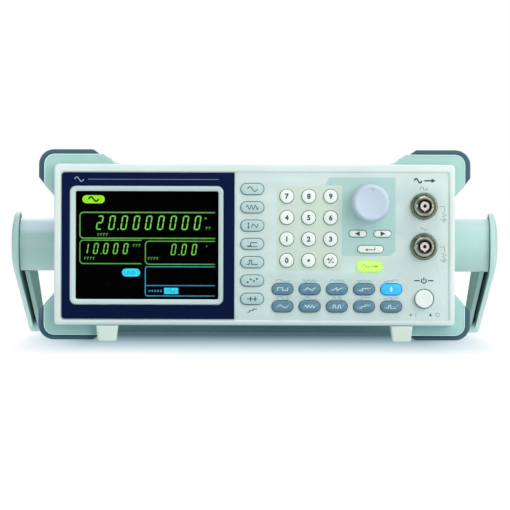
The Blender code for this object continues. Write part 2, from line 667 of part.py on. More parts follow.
def make_feet():
    """Two tapered feet under the bezel."""
    for name, x in (("front_left_foot", -FOOT_X), ("front_right_foot", FOOT_X)):
        sections = []
        for width, depth, height in (
            (FOOT_BOTTOM_WIDTH, FOOT_DEPTH_BOTTOM, 0.0),
            (FOOT_TOP_WIDTH, FOOT_DEPTH_TOP, FOOT_HEIGHT),
        ):
            outline = box_outline(-width / 2, width / 2, -depth / 2, depth / 2, 1.2)
            sections.append((outline, height))
        loft(name, sections, "foot", FLAT, at=(x, FOOT_Y, 0.0))


def make_hubs():
    """The drums on both sides of the case, with the spigots that the handle turns on."""
    start = COVER_WIDTH / 2 + GAP
    sections = [
        (circle(HUB_RADIUS, sides=32), start),
        (circle(HUB_RADIUS, sides=32), HUB_END),
        (circle(SPIGOT_RADIUS, sides=32), HUB_END),
        (circle(SPIGOT_RADIUS, sides=32), HUB_END + SPIGOT_LENGTH),
    ]
    for name, turn in (("left_pivot_hub", math.pi), ("right_pivot_hub", 0.0)):
        hub = loft(name, sections, "handle", RIGHT, at=(0.0, PIVOT_Y, CASE_MIDDLE))
        hub.rotation_euler.z = turn


def arm_outline(wide, narrow):
    """The arm seen from the side, about its pivot: a round end that tapers to the tip."""
    lean = math.acos((wide - narrow) / abs(ARM))
    along = cmath.phase(ARM)
    points = []
    for centre, radius, first, last, steps in (
        (0j, wide, along + lean, along + math.tau - lean, 16),
        (ARM, narrow, along - lean, along + lean, 8),
    ):
        for k in range(steps + 1):
            point = centre + cmath.rect(radius, first + (last - first) * k / steps)
            points.append((point.real, point.imag))
    return points


def arm_pocket():
    """The hollow along the arm, closed at the tip and on its upper side, open below."""
    along = ARM / abs(ARM)
    length = abs(ARM) - ARM_TIP_RADIUS + JOINED
    root_top, tip_top = HUB_RADIUS - ARM_WEB, ARM_TIP_RADIUS - ARM_WEB
    corners = [(0.0, root_top), (0.0, -POCKET_REACH), (length, -POCKET_REACH), (length, tip_top)]
    points = [along * complex(u, v) for u, v in corners]
    return [(point.real, point.imag) for point in points]


def make_handle():
    """The carrying handle: a domed plate over each hub, and behind the hub an arm with a channel
    along its underside, with the grip bar between the tips. Half is modelled and mirrored."""
    at = (0.0, PIVOT_Y, CASE_MIDDLE)
    hub_end = HUB_END + GAP
    plate = [(arm_outline(ARM_PLATE_RADIUS, ARM_TIP_RADIUS), hub_end)]
    for inset, distance in ARM_DOME:
        plate.append((arm_outline(ARM_PLATE_RADIUS - inset, ARM_TIP_RADIUS - inset), distance))
    handle = loft("handle", plate, "handle", RIGHT, at=at)
    helper = {"frame": RIGHT, "at": at, "collection": CUTTERS}
    side, joint = arm_outline(HUB_RADIUS, ARM_TIP_RADIUS), hub_end + JOINED
    arm = loft("arm_block", [(side, ARM_INSIDE), (side, joint)], **helper)
    drum = circle(HUB_RADIUS + GAP, sides=32)
    drum_space = [(drum, ARM_INSIDE - JOINED), (drum, hub_end)]
    combine(arm, loft("drum_space", drum_space, **helper), "DIFFERENCE")
    hollow = [(arm_pocket(), ARM_INSIDE + ARM_INNER_WALL), (arm_pocket(), joint + JOINED)]
    combine(arm, loft("arm_hollow", hollow, **helper), "DIFFERENCE")
    combine(handle, arm, "UNION")
    low, back = ARM.imag - ARM_TIP_RADIUS, ARM.real + ARM_TIP_RADIUS
    grip = box_outline(back - GRIP_WIDTH, back, low, low + GRIP_THICKNESS, GRIP_CORNER)
    grip_bar = loft("grip_bar", [(grip, -PAST_MIDDLE), (grip, joint)], **helper)
    combine(handle, grip_bar, "UNION")
    spigot = circle(SPIGOT_RADIUS + GAP, sides=32)
    bore = [(spigot, hub_end - JOINED), (spigot, HUB_END + SPIGOT_LENGTH + GAP)]
    combine(handle, loft("spigot_bore", bore, **helper), "DIFFERENCE")
    mirror = handle.modifiers.new("both_sides", "MIRROR")
    mirror.use_bisect_axis[0] = True
    mirror.merge_threshold = 1e-5


def make_inside():
    """Key board, main board and transformer."""
    edge = box_outline(*KEY_BOARD)
    hole = circle(BUSHING_RADIUS + KEY_CLEARANCE, KNOB_AT, 16)
    back = KEY_BOARD_FRONT + BOARD_THICKNESS
    sheet("key_board", [edge, hole], -KEY_BOARD_FRONT, -back, "board", at=(0.0, 0.0, CASE_MIDDLE))
    top = MAIN_BOARD_HEIGHT + BOARD_THICKNESS
    block("main_board", *MAIN_BOARD, MAIN_BOARD_HEIGHT, top, "board")
    floor = CASE_MIDDLE - COVER_HEIGHT / 2 + COVER_WALL + GAP
    block("power_transformer", *TRANSFORMER, floor, floor + TRANSFORMER_HEIGHT, "steel", radius=3.0)


make_bezel()
make_display()
make_keys()
make_power_button()
make_knob()
for socket_name, socket_at in SOCKETS_AT.items():
    make_socket(socket_name, on_panel(socket_at), PANEL_BACK - PANEL_FRONT)
make_covers()
make_rear()
make_protectors()
make_feet()
make_hubs()
make_handle()
make_inside()
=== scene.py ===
"""The looks of the bench function generator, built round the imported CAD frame.

Sizes are in millimetres and are scaled to metres when a mesh is made. Outlines on the front are
(x, z) in the row frame. Places come from the CAD nodes' boxes.
"""

import cmath
import json
import math
from types import SimpleNamespace

import bmesh
import bpy
from mathutils import Matrix, Vector

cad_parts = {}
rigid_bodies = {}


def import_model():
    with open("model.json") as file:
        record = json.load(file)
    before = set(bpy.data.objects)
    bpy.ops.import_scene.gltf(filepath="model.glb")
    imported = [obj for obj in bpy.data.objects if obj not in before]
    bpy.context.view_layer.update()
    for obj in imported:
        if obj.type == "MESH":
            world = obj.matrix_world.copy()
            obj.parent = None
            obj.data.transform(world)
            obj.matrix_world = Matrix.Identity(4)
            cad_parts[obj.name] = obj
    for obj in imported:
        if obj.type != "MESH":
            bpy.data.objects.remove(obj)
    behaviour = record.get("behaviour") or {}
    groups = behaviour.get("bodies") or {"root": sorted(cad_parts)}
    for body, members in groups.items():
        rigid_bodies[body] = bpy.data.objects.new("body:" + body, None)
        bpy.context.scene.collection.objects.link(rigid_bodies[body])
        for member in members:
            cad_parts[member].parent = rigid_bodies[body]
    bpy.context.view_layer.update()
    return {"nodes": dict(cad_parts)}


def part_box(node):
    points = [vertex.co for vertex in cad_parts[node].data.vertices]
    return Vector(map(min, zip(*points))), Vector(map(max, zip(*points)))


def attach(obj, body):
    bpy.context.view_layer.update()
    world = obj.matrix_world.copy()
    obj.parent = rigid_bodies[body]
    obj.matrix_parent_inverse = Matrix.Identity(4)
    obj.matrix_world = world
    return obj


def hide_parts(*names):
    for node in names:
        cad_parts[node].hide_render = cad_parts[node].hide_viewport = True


MM = 0.001

for obj in list(bpy.data.objects):
    bpy.data.objects.remove(obj)
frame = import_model()


# ---------------------------------------------------------------- outlines and meshes


def span(node):
    """A CAD node's box at rest, in millimetres."""
    low, high = [[v / MM for v in corner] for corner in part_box(node)]
    return SimpleNamespace(
        left=low[0], right=high[0], front=low[1], back=high[1], bottom=low[2], top=high[2],
        x=(low[0] + high[0]) / 2, y=(low[1] + high[1]) / 2, z=(low[2] + high[2]) / 2,
        width=high[0] - low[0], depth=high[1] - low[1], height=high[2] - low[2],
    )


def rounded(corners, steps=6):
    """A closed outline through the corners (x, y, radius), each rounded by an arc."""
    points = []
    for i, (x, y, radius) in enumerate(corners):
        if radius <= 0:
            points.append((x, y))
            continue
        here = complex(x, y)
        before = complex(*corners[i - 1][:2]) - here
        after = complex(*corners[(i + 1) % len(corners)][:2]) - here
        before /= abs(before)
        after /= abs(after)
        half = abs(cmath.phase(after / before)) / 2
        middle = (before + after) / abs(before + after)
        centre = here + middle * radius / math.sin(half)
        start = here + before * radius / math.tan(half) - centre
        turn = cmath.phase((here + after * radius / math.tan(half) - centre) / start)
        for k in range(steps + 1):
            point = centre + start * cmath.exp(1j * turn * k / steps)
            points.append((point.real, point.imag))
    return points


def box(left, right, bottom, top, radius=0.0, grow=0.0, steps=6):
    """A rectangle with rounded corners, grown on every side."""
    left, right, bottom, top = left - grow, right + grow, bottom - grow, top + grow
    corner = max(radius + grow, 0.05) if radius > 0 else 0.0
    corners = [(right, top), (left, top), (left, bottom), (right, bottom)]
    return rounded([(x, z, corner) for x, z in corners], steps)


def pill(width, height, x=0.0, z=0.0, grow=0.0, steps=8):
    """A stadium, or a circle where its sides are equal."""
    width, height = width + 2 * grow, height + 2 * grow
    points = []
    for side in (1, -1):
        for k in range(steps + 1):
            angle = math.pi * (k / steps - 0.5)
            across = side * ((width - height) / 2 + height / 2 * math.cos(angle))
            points.append((x + across, z + side * height / 2 * math.sin(angle)))
    return points


def circle(radius, x, z, sides=40):
    """A regular outline."""
    turns = [math.tau * k / sides for k in range(sides)]
    return [(x + radius * math.cos(a), z + radius * math.sin(a)) for a in turns]


class Ribbon(list):
    """An outline of a stroke: its first half runs along one side and its second half back."""


def moved(outline, x, z):
    """The outline shifted."""
    return type(outline)((x + u, z + v) for u, v in outline)


def without_repeats(outline):
    """The outline without points that sit on the one before them."""
    kept = []
    for point in outline:
        if math.dist(point, kept[-1] if kept else outline[-1]) > 1e-4:
            kept.append(point)
    return kept


def ribbon(points, width):
    """The outline of a stroke along the points, square at its ends."""
    left, right = [], []
    path = [complex(*p) for p in points]
    for i, here in enumerate(path):
        before = path[max(i - 1, 0)]
        after = path[min(i + 1, len(path) - 1)]
        first = (here - before) / abs(here - before) if here != before else None
        second = (after - here) / abs(after - here) if after != here else None
        first = first or second
        second = second or first
        along = (first + second) / abs(first + second)
        reach = width / 2 / max((along / first).real, 0.5)
        left.append(here + along * 1j * reach)
        right.append(here - along * 1j * reach)
    return Ribbon((p.real, p.imag) for p in left + right[::-1])


AXES = {  # rows of the matrix that takes (u, v, place along the axis) to the row frame
    "x": Matrix(((0, 0, 1), (1, 0, 0), (0, 1, 0))),
    "y": Matrix(((1, 0, 0), (0, 0, 1), (0, 1, 0))),
    "z": Matrix(((1, 0, 0), (0, 1, 0), (0, 0, 1))),
}


def placed(name, data):
    """A new object in the scene."""
    obj = bpy.data.objects.new(name, data)
    bpy.context.scene.collection.objects.link(obj)
    return obj


def pour(mesh, shape):
    """Adds a mesh to a shape and consumes the mesh."""
    shape.from_mesh(mesh)
    bpy.data.meshes.remove(mesh)


def as_mesh(shape, name="part"):
    """The mesh of a shape, which it consumes."""
    mesh = bpy.data.meshes.new(name)
    shape.to_mesh(mesh)
    shape.free()
    return mesh


def evaluated_mesh(obj):
    """A new mesh of the object as its curve or its modifiers make it."""
    graph = bpy.context.evaluated_depsgraph_get()
    return bpy.data.meshes.new_from_object(obj.evaluated_get(graph), depsgraph=graph)


def curve_shape(curve):
    """The shape that a filled curve makes. It consumes the curve."""
    guide = placed("guide", curve)
    shape = bmesh.new()
    pour(evaluated_mesh(guide), shape)
    bpy.data.objects.remove(guide)
    bpy.data.curves.remove(curve)
    bmesh.ops.remove_doubles(shape, verts=shape.verts, dist=1e-3)
    return shape


def to_mesh(shape, axis):
    """Stands a shape drawn in millimetres along an axis, and turns its faces outwards."""
    shape.transform(AXES[axis].to_4x4() @ Matrix.Scale(MM, 4))
    bmesh.ops.recalc_face_normals(shape, faces=shape.faces)
    return as_mesh(shape)


def filled(outlines, low, high, axis="y", bevel=0.0, steps=2):
    """A plate between two places on the axis. The first outline is its edge, others are holes
    or further plates. Its edges are rounded by the bevel."""
    curve = bpy.data.curves.new("plate", "CURVE")
    curve.dimensions = "2D"
    curve.fill_mode = "BOTH"
    curve.extrude = (high - low) / 2 - bevel
    curve.bevel_depth = bevel
    curve.bevel_resolution = steps
    curve.offset = -bevel
    for outline in outlines:
        points = without_repeats(outline)
        spline = curve.splines.new("POLY")
        spline.points.add(len(points) - 1)
        for point, (x, y) in zip(spline.points, points):
            point.co = (x, y, 0.0, 1.0)
        spline.use_cyclic_u = True
    shape = curve_shape(curve)
    shape.transform(Matrix.Translation((0.0, 0.0, (low + high) / 2)))
    return to_mesh(shape, axis)


def skinned(sections, axis="y", closed=False):
    """A solid skinned over outlines with equal point counts, each (outline, place). A closed
    solid runs from the last outline back to the first, as a ring does."""
    shape = bmesh.new()
    rings = [[shape.verts.new((x, y, place)) for x, y in without_repeats(outline)]
             for outline, place in sections]
    pairs = list(zip(rings, rings[1:]))
    if closed:
        pairs.append((rings[-1], rings[0]))
    for low, high in pairs:
        for k in range(len(low)):
            shape.faces.new((low[k - 1], low[k], high[k], high[k - 1]))
    if not closed:
        shape.faces.new(rings[0])
        shape.faces.new(rings[-1])
    return to_mesh(shape, axis)


def prints(outlines, low, high, axis="y"):
    """Thin printed figures, each outline on its own, so that they may cross."""
    shape = bmesh.new()
    for outline in outlines:
        near, far = [[shape.verts.new((x, y, place)) for x, y in outline] for place in (low, high)]
        count = len(outline)
        for k in range(count):
            shape.faces.new((near[k - 1], near[k], far[k], far[k - 1]))
        for ring in (near, far):
            if not isinstance(outline, Ribbon):
                shape.faces.new(ring)
                continue
            for k in range(count // 2 - 1):
                shape.faces.new((ring[k], ring[k + 1], ring[count - 2 - k], ring[count - 1 - k]))
    return to_mesh(shape, axis)


def turned(profile, x, z, axis="y", sides=48, closed=False):
    """A turned shape from (radius, place) points, about a line through (x, z)."""
    sections = [(circle(radius, x, z, sides), place) for radius, place in profile]
    return skinned(sections, axis, closed)


def fillet(radius, place, inwards, size, steps=4):
    """Points (radius, place) round an outer edge, from its side to its face. inwards is -1
    where the face looks to the low end of the axis, and 1 where it looks to the high end."""
    points = []
    for k in range(steps + 1):
        a = math.pi / 2 * k / steps
        back = size * (1 - math.sin(a))
        points.append((radius - size * (1 - math.cos(a)), place - inwards * back))
    return points


DIGIT_HEIGHT = 3.3
DIGIT_BOLD = 0.065  # how much bolder the digits are than the built-in face, as a share of their height
FACE_SIZE = 1.38  # the built-in face's size for digits of height 1


def lettering(words, x, z, front):
    """Digits printed on a face that looks forward, centred on a place."""
    curve = bpy.data.curves.new("characters", "FONT")
    curve.body = words
    curve.align_x = "CENTER"
    curve.align_y = "CENTER"
    curve.size = DIGIT_HEIGHT * FACE_SIZE
    curve.offset = DIGIT_BOLD * DIGIT_HEIGHT
    curve.extrude = 0.07
    curve.resolution_u = 3
    shape = curve_shape(curve)
    middle = [(min(c) + max(c)) / 2 for c in zip(*(v.co for v in shape.verts))]
    shape.transform(Matrix.Translation((x - middle[0], z - middle[1], front + 0.05)))
    return to_mesh(shape, "y")


class Piece:
    """Gathers meshes, each with its own material, into one piece of the scene."""

    def __init__(self, name):
        self.name = name
        self.shape = bmesh.new()
        self.paints = []

    def add(self, mesh, paint):
        """Adds a mesh and consumes it."""
        if paint not in self.paints:
            self.paints.append(paint)
        first = len(self.shape.faces)
        pour(mesh, self.shape)
        self.shape.faces.ensure_lookup_table()
        for face in self.shape.faces[first:]:
            face.material_index = self.paints.index(paint)
        return self

    def finish(self, body, slot, *nodes, smooth=32):
        """Makes the object, rides it on its body and hides the CAD nodes it stands for."""
        mesh = as_mesh(self.shape, self.name)
        for paint in self.paints:
            mesh.materials.append(MATERIALS[paint])
        mesh.shade_smooth()
        mesh.set_sharp_from_angle(angle=math.radians(smooth))
        obj = placed(self.name, mesh)
        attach(obj, body)
        if nodes:
            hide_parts(*nodes)
        return obj


# ---------------------------------------------------------------- materials


def srgb(red, green, blue):
    """A colour given as 0 to 255, made linear."""
    values = [v / 255 for v in (red, green, blue)]
    return [v / 12.92 if v <= 0.04045 else ((v + 0.055) / 1.055) ** 2.4 for v in values]


RANGE = ("From Min", "From Max", "To Min", "To Max")


class Nodes:
    """Short forms for building a material's nodes."""

    def __init__(self, name):
        self.material = bpy.data.materials.new(name)
        self.material.use_nodes = True
        self.tree = self.material.node_tree
        self.shader = self.tree.nodes["Principled BSDF"]
        self.place = self.new("TexCoord").outputs["Object"]

    def new(self, kind):
        return self.tree.nodes.new("ShaderNode" + kind)

    def put(self, value, socket):
        """Gives an input a value, or links it to an output."""
        if isinstance(value, bpy.types.NodeSocket):
            self.tree.links.new(value, socket)
        else:
            socket.default_value = value

    def set(self, **values):
        """Gives the shader's inputs their values or links."""
        for name, value in values.items():
            self.put(value, self.shader.inputs[name.replace("_", " ")])

    def noise(self, size, detail=3.0, roughness=0.5, stretch=None):
        """Noise whose features are about that many millimetres."""
        node = self.new("TexNoise")
        node.inputs["Scale"].default_value = 1 / (size * MM)
        node.inputs["Detail"].default_value = detail
        node.inputs["Roughness"].default_value = roughness
        source = self.place
        if stretch:
            mapping = self.new("Mapping")
            mapping.inputs["Scale"].default_value = stretch
            self.put(source, mapping.inputs["Vector"])
            source = mapping.outputs["Vector"]
        self.put(source, node.inputs["Vector"])
        return node.outputs["Fac"]

    def spread(self, value, low, high, from_low=0.3, from_high=0.7):
        """A value mapped from one range to another."""
        node = self.new("MapRange")
        for name, number in zip(RANGE, (from_low, from_high, low, high)):
            node.inputs[name].default_value = number
        self.put(value, node.inputs["Value"])
        return node.outputs["Result"]

    def mix(self, factor, first, second):
        """Two colours mixed. Each may be a colour or a socket."""
        node = self.new("Mix")
        node.data_type = "RGBA"
        for name, value in (("Factor", factor), ("A", first), ("B", second)):
            socket = [s for s in node.inputs if s.name == name and s.enabled][0]
            self.put((*value, 1.0) if isinstance(value, (tuple, list)) else value, socket)
        return [s for s in node.outputs if s.enabled][0]

    def bump(self, *layers):
        """Bump from (height, strength, depth in millimetres), the coarsest first."""
        normal = None
        for height, strength, depth in layers:
            node = self.new("Bump")
            node.inputs["Strength"].default_value = strength
            node.inputs["Distance"].default_value = depth * MM
            self.put(height, node.inputs["Height"])
            if normal:
                self.put(normal, node.inputs["Normal"])
            normal = node.outputs["Normal"]
        self.set(Normal=normal)

    def geometry(self, name):
        """A property of the surface at each place."""
        return self.new("NewGeometry").outputs[name]

    def parts(self, vector):
        """A vector's sockets, under "X", "Y" and "Z"."""
        node = self.new("SeparateXYZ")
        self.put(vector, node.inputs[0])
        return node.outputs

    def maths(self, operation, *values):
        """The result of a sum over sockets."""
        node = self.new("Math")
        node.operation = operation
        for value, socket in zip(values, node.inputs):
            self.put(value, socket)
        return node.outputs[0]

    def edges(self, strength):
        """That strength along raised edges, and 0 elsewhere."""
        return self.spread(self.geometry("Pointiness"), 0.0, strength, 0.52, 0.6)


def scaled(colour, factor):
    return [min(v * factor, 1.0) for v in colour]


MOTTLE, WEAR_PALENESS = 0.05, 0.45  # how much a moulding's colour varies, and how far edges pale
PAINT_ROUGHNESS = 0.42
UNEVEN_GLOW = 0.25


def moulded(name, colour, rough, grain=0.35, depth=0.012, wear=0.0, upper=None):
    """Moulded plastic or rubber with fine grain, faint flow marks and paler edges. Where an upper
    colour is given, the faces that look up take it: a painted highlight of the light from above."""
    n = Nodes(name)
    flow = n.noise(28.0, 2.0)
    speck = n.noise(grain * 2.5, 4.0, 0.65)
    fine = n.noise(grain, 2.0, 0.6)
    body = n.mix(n.spread(flow, 0.0, 1.0), scaled(colour, 1 - MOTTLE), scaled(colour, 1 + MOTTLE))
    body = n.mix(n.spread(speck, 0.0, 0.5), body, scaled(colour, 1 - 0.6 * MOTTLE))
    if upper:
        # painted highlight: faces that look up take the paler upper colour
        facing = n.parts(n.geometry("Normal"))["Z"]
        body = n.mix(n.spread(facing, 0.0, 1.0, 0.4, 0.56), body, upper)
    pale = [v + (1 - v) * WEAR_PALENESS for v in colour]
    n.set(Base_Color=n.mix(n.edges(wear), body, pale), Roughness=n.spread(speck, rough - 0.06, rough + 0.08))
    n.bump((flow, 0.15, 0.05), (fine, 0.5, depth))
    return n.material


def painted(name, colour):
    """Powder coat on sheet metal: an orange-peel surface with small pits."""
    n = Nodes(name)
    peel = n.noise(1.1, 2.0, 0.4)
    pits = n.noise(0.35, 3.0, 0.7)
    cloud = n.noise(45.0, 3.0)
    body = n.mix(n.spread(cloud, 0.0, 1.0), scaled(colour, 0.95), scaled(colour, 1.04))
    n.set(Base_Color=n.mix(n.spread(pits, 0.0, 0.25), body, scaled(colour, 0.8)),
          Roughness=n.spread(peel, PAINT_ROUGHNESS - 0.08, PAINT_ROUGHNESS + 0.1))
    n.bump((peel, 0.35, 0.05), (pits, 0.3, 0.015))
    return n.material


def plated(name, colour, rough, stretch=(1.0, 30.0, 1.0)):
    """Turned and plated metal, with fine tool marks and dull patches."""
    n = Nodes(name)
    marks = n.noise(3.0, 4.0, 0.6, stretch)
    dull = n.noise(4.0, 3.0)
    n.set(Base_Color=n.mix(n.spread(dull, 0.0, 1.0), scaled(colour, 0.78), scaled(colour, 1.12)),
          Roughness=n.spread(dull, rough - 0.08, rough + 0.14), Metallic=1.0)
    n.bump((marks, 0.25, 0.02))
    return n.material


def film(name, colour, rough, variation=0.12, shine=0.5):
    """Printed film or ink: an even coat with a faint screen-print texture."""
    n = Nodes(name)
    speck = n.noise(0.5, 3.0, 0.6)
    cloud = n.noise(30.0, 2.0)
    darker, paler = scaled(colour, 1 - variation), scaled(colour, 1 + variation)
    body = n.mix(n.spread(speck, 0.0, 1.0), darker, paler)
    n.set(Base_Color=n.mix(n.spread(cloud, 0.0, 0.4), body, darker),
          Roughness=n.spread(speck, rough - 0.05, rough + 0.08), Specular_IOR_Level=shine)
    n.bump((speck, 0.2, 0.006))
    return n.material


def glowing(name, colour, strength):
    """A lit figure behind glass, a little uneven from place to place."""
    n = Nodes(name)
    patch = n.noise(3.5, 2.0)
    light = n.mix(n.spread(patch, 0.0, 1.0), scaled(colour, 1 - UNEVEN_GLOW), colour)
    n.set(Base_Color=n.mix(0.5, light, (0.0, 0.0, 0.0)), Roughness=0.5, Emission_Color=light,
          Emission_Strength=strength)
    return n.material


def lit_silicone(name, colour, strength):
    """A translucent key cap with a lamp under it, brightest at its middle."""
    n = Nodes(name)
    patch = n.noise(5.0, 2.0)
    body = n.mix(n.spread(patch, 0.0, 1.0), scaled(colour, 0.88), colour)
    glow = n.spread(n.geometry("Pointiness"), strength, strength * 0.55, 0.5, 0.6)
    n.set(Base_Color=body, Roughness=0.42, Emission_Color=body, Emission_Strength=glow)
    n.bump((n.noise(0.4, 2.0), 0.3, 0.01))
    return n.material


def clear_window(name):
    """A thin clear window with a hard coat: nearly all is seen through it."""
    n = Nodes(name)
    clear = n.new("BsdfTransparent")
    clear.inputs["Color"].default_value = (0.93, 0.95, 0.95, 1.0)
    gloss = n.new("BsdfGlossy")
    gloss.inputs["Color"].default_value = (0.9, 0.95, 1.0, 1.0)
    n.put(n.spread(n.noise(20.0, 3.0), 0.02, 0.05), gloss.inputs["Roughness"])
    facing = n.new("Fresnel")
    facing.inputs["IOR"].default_value = 1.04
    mixed = n.new("MixShader")
    n.put(facing.outputs["Fac"], mixed.inputs["Fac"])
    n.put(clear.outputs["BSDF"], mixed.inputs[1])
    n.put(gloss.outputs["BSDF"], mixed.inputs[2])
    n.put(mixed.outputs["Shader"], n.tree.nodes["Material Output"].inputs["Surface"])
    return n.material


def circuit_board(name):
    """Green solder mask over faint copper tracks."""
    n = Nodes(name)
    tracks = n.new("TexBrick")
    tracks.inputs["Scale"].default_value = 120.0
    tracks.inputs["Color1"].default_value = (0.012, 0.12, 0.04, 1.0)
    tracks.inputs["Color2"].default_value = (0.016, 0.16, 0.055, 1.0)
    tracks.inputs["Mortar"].default_value = (0.03, 0.24, 0.09, 1.0)
    n.put(n.place, tracks.inputs["Vector"])
    n.set(Base_Color=tracks.outputs["Color"], Roughness=n.spread(n.noise(2.0), 0.3, 0.5))
    return n.material


MATERIALS = {
    "bezel": moulded("bezel_plastic", srgb(218, 232, 229), 0.42, wear=0.2),
    "panel": moulded("panel_plastic", srgb(208, 226, 222), 0.48, wear=0.1),
    "rim": moulded("rim_plastic", srgb(196, 216, 212), 0.38, wear=0.3),
    "keypad_bed": film("keypad_bed_ink", srgb(205, 221, 207), 0.5, 0.04),
    "arrow_bed": film("arrow_bed_ink", srgb(177, 211, 206), 0.5, 0.04),
    "surround": film("surround_film", srgb(6, 22, 62), 0.45, shine=0.05),
    "surround_line": film("surround_line_ink", srgb(150, 165, 190), 0.4),
    "dark_ink": film("dark_ink", srgb(50, 68, 82), 0.5),
    "soft_ink": film("soft_ink", srgb(128, 150, 154), 0.5),
    "cyan_ink": film("cyan_ink", srgb(96, 192, 214), 0.5),
    "white_ink": film("white_ink", srgb(222, 236, 240), 0.5, 0.04),
    "green_ink": film("green_ink", srgb(128, 186, 60), 0.5),
    "window": clear_window("display_window_glass"),
    "screen": film("screen_black", (0.0012, 0.0012, 0.0014), 0.5, 0.3, shine=0.0),
    "lime": glowing("figure_lime", srgb(150, 232, 14), 0.9),
    "green": glowing("figure_green", srgb(110, 200, 66), 0.95),
    "green_line": glowing("figure_green_line", srgb(84, 160, 52), 0.85),
    "cyan": glowing("figure_cyan", srgb(30, 204, 230), 1.0),
    "cyan_line": glowing("figure_cyan_line", srgb(42, 140, 175), 0.85),
    "key_mint": moulded("key_mint_silicone", srgb(184, 211, 210), 0.5, 0.5, wear=0.2),
    # darker copy of the key silicone: painted shade for the skirts and flanges in the gaps round the keys
    "key_skirt": moulded("key_skirt_silicone", srgb(86, 112, 118), 0.55, 0.5),
    "key_white": moulded("key_white_silicone", srgb(236, 244, 238), 0.46, 0.5, wear=0.1),
    "key_blue": moulded("key_blue_silicone", srgb(92, 136, 158), 0.46, 0.5, wear=0.35),
    "key_bright": lit_silicone("key_bright_silicone", srgb(40, 178, 246), 0.46),
    "key_lit": lit_silicone("key_lit_silicone", srgb(188, 242, 106), 0.55),
    "knob": moulded("knob_plastic", srgb(190, 208, 222), 0.42, 0.4, wear=0.35),
    "nickel": plated("nickel_plate", (0.21, 0.25, 0.19), 0.24),
    # near-black metal: a painted dark reflection on the socket barrels
    "barrel_painted_dark_reflection": plated("barrel_painted_dark_reflection_plate", (0.045, 0.047, 0.035), 0.2),
    "bright_metal": plated("bright_metal", (0.6, 0.64, 0.53), 0.2),
    "contact": plated("contact_gold", (0.06, 0.048, 0.03), 0.35),
    "insulator": moulded("insulator_resin", srgb(236, 226, 224), 0.35, 0.3),
    # near-black colour for holes and recesses: painted shade
    "hollow": moulded("hole_painted_shade_black", (0.006, 0.006, 0.006), 0.7),
    "protector": moulded("protector_plastic", srgb(166, 208, 202), 0.5, 0.6, 0.02, wear=0.4),
    # paler copy of the protector's plastic: a painted highlight along the lips beside the rubber
    "protector_lip_painted_highlight": moulded("lip_painted_highlight_plastic", srgb(198, 234, 229), 0.45, 0.5, wear=0.2),
    "rubber": moulded("rubber_edge", srgb(58, 93, 110), 0.62, 0.8, 0.03, wear=0.15),
    "handle": moulded("handle_plastic", srgb(178, 216, 211), 0.46, 0.6, 0.02, wear=0.35),
    # the drums' upper colours are a painted highlight on their tops, stronger on the left drum
    "left_hub": moulded("left_hub_painted_highlight_plastic", srgb(178, 218, 213), 0.46, 0.6, 0.02, wear=0.35,
                        upper=srgb(204, 228, 238)),
    "right_hub": moulded("right_hub_painted_highlight_plastic", srgb(178, 216, 211), 0.46, 0.6, 0.02, wear=0.35,
                         upper=srgb(182, 214, 214)),
    # darker copy of the handle's plastic: painted shade for the arm's channel and its case side
    "handle_painted_shade": moulded("handle_painted_shade_plastic", srgb(118, 168, 160), 0.55, 0.6, 0.02,
                             wear=0.2),
    "cover": painted("cover_paint", srgb(206, 220, 216)),
    "foot": moulded("foot_rubber", srgb(236, 249, 236), 0.6, 0.5, wear=0.1),
    "steel": plated("plain_steel", (0.52, 0.54, 0.55), 0.35, (30.0, 1.0, 1.0)),
    "board": circuit_board("circuit_board_mask"),
    "black_plastic": moulded("black_plastic", srgb(34, 36, 38), 0.45, 0.4, wear=0.3),
}


# ---------------------------------------------------------------- sizes shared by the pieces

BEZEL = span("front_bezel")
MIDDLE = BEZEL.z
HALF_WIDTH, HALF_HEIGHT = BEZEL.width / 2, BEZEL.height / 2
BEZEL_FRONT = BEZEL.front + 0.5  # the rim round the screen stands this much further forward
PANEL_FRONT = BEZEL_FRONT + 1.2
PANEL_BACK = PANEL_FRONT + 3.0
FRAME_INSIDE = (-HALF_WIDTH + 4.6, HALF_WIDTH - 4.0, BEZEL.bottom + 3.5, BEZEL.top - 5.4)
SURROUND = span("display_surround")
WINDOW = span("display_window")
RIM_OUTSIDE = (SURROUND.left + 5.5, SURROUND.right - 7.5, SURROUND.bottom + 9.6, SURROUND.top - 9.1)
SCREEN = (WINDOW.left + 2.2, WINDOW.right - 2.2, WINDOW.bottom + 2.2, WINDOW.top - 2.2)
FLANGE, FLANGE_THICKNESS = 0.8, 1.2
KEY_GAP = 0.35
BED_GAP = KEY_GAP + 0.3  # between a key and the edge of the printed bed round it
BUTTON_HOLE, KNOB_HOLE, SOCKET_HOLE = 6.65, 4.0, 6.35
BUTTON_SHIFT = (0.32, -0.12)  # the button's hole isn't quite centred on it, as in the photo
INK = 0.05  # how far printing stands off the panel

MENU_KEYS = [f"{n}_key" for n in
             ("waveform", "frequency", "amplitude", "offset", "duty", "point", "value")]
NUMBER_KEYS = {f"number_key_{n}": n for n in "789456123"}  # the digit printed on each
NUMBER_KEYS.update({"number_key_0": "0", "number_key_point": None, "number_key_sign": None})
FUNCTION_KEYS = [f"function_key_{k}" for k in range(1, 11)]
OTHER_KEYS = ["left_arrow_key", "right_arrow_key", "enter_key", "output_key"]
ALL_KEYS = MENU_KEYS + list(NUMBER_KEYS) + FUNCTION_KEYS + OTHER_KEYS
TRIM = {node: 0.5 for node in ("left_arrow_key", "right_arrow_key", "enter_key")}  # smaller caps


def key_hole(node, grow=KEY_GAP):
    """The outline of a key's hole in the panel."""
    key, less = span(node), FLANGE + TRIM.get(node, 0.0)
    return pill(key.width - 2 * less, key.height - 2 * less, key.x, key.z, grow)


# ---------------------------------------------------------------- waveform signs

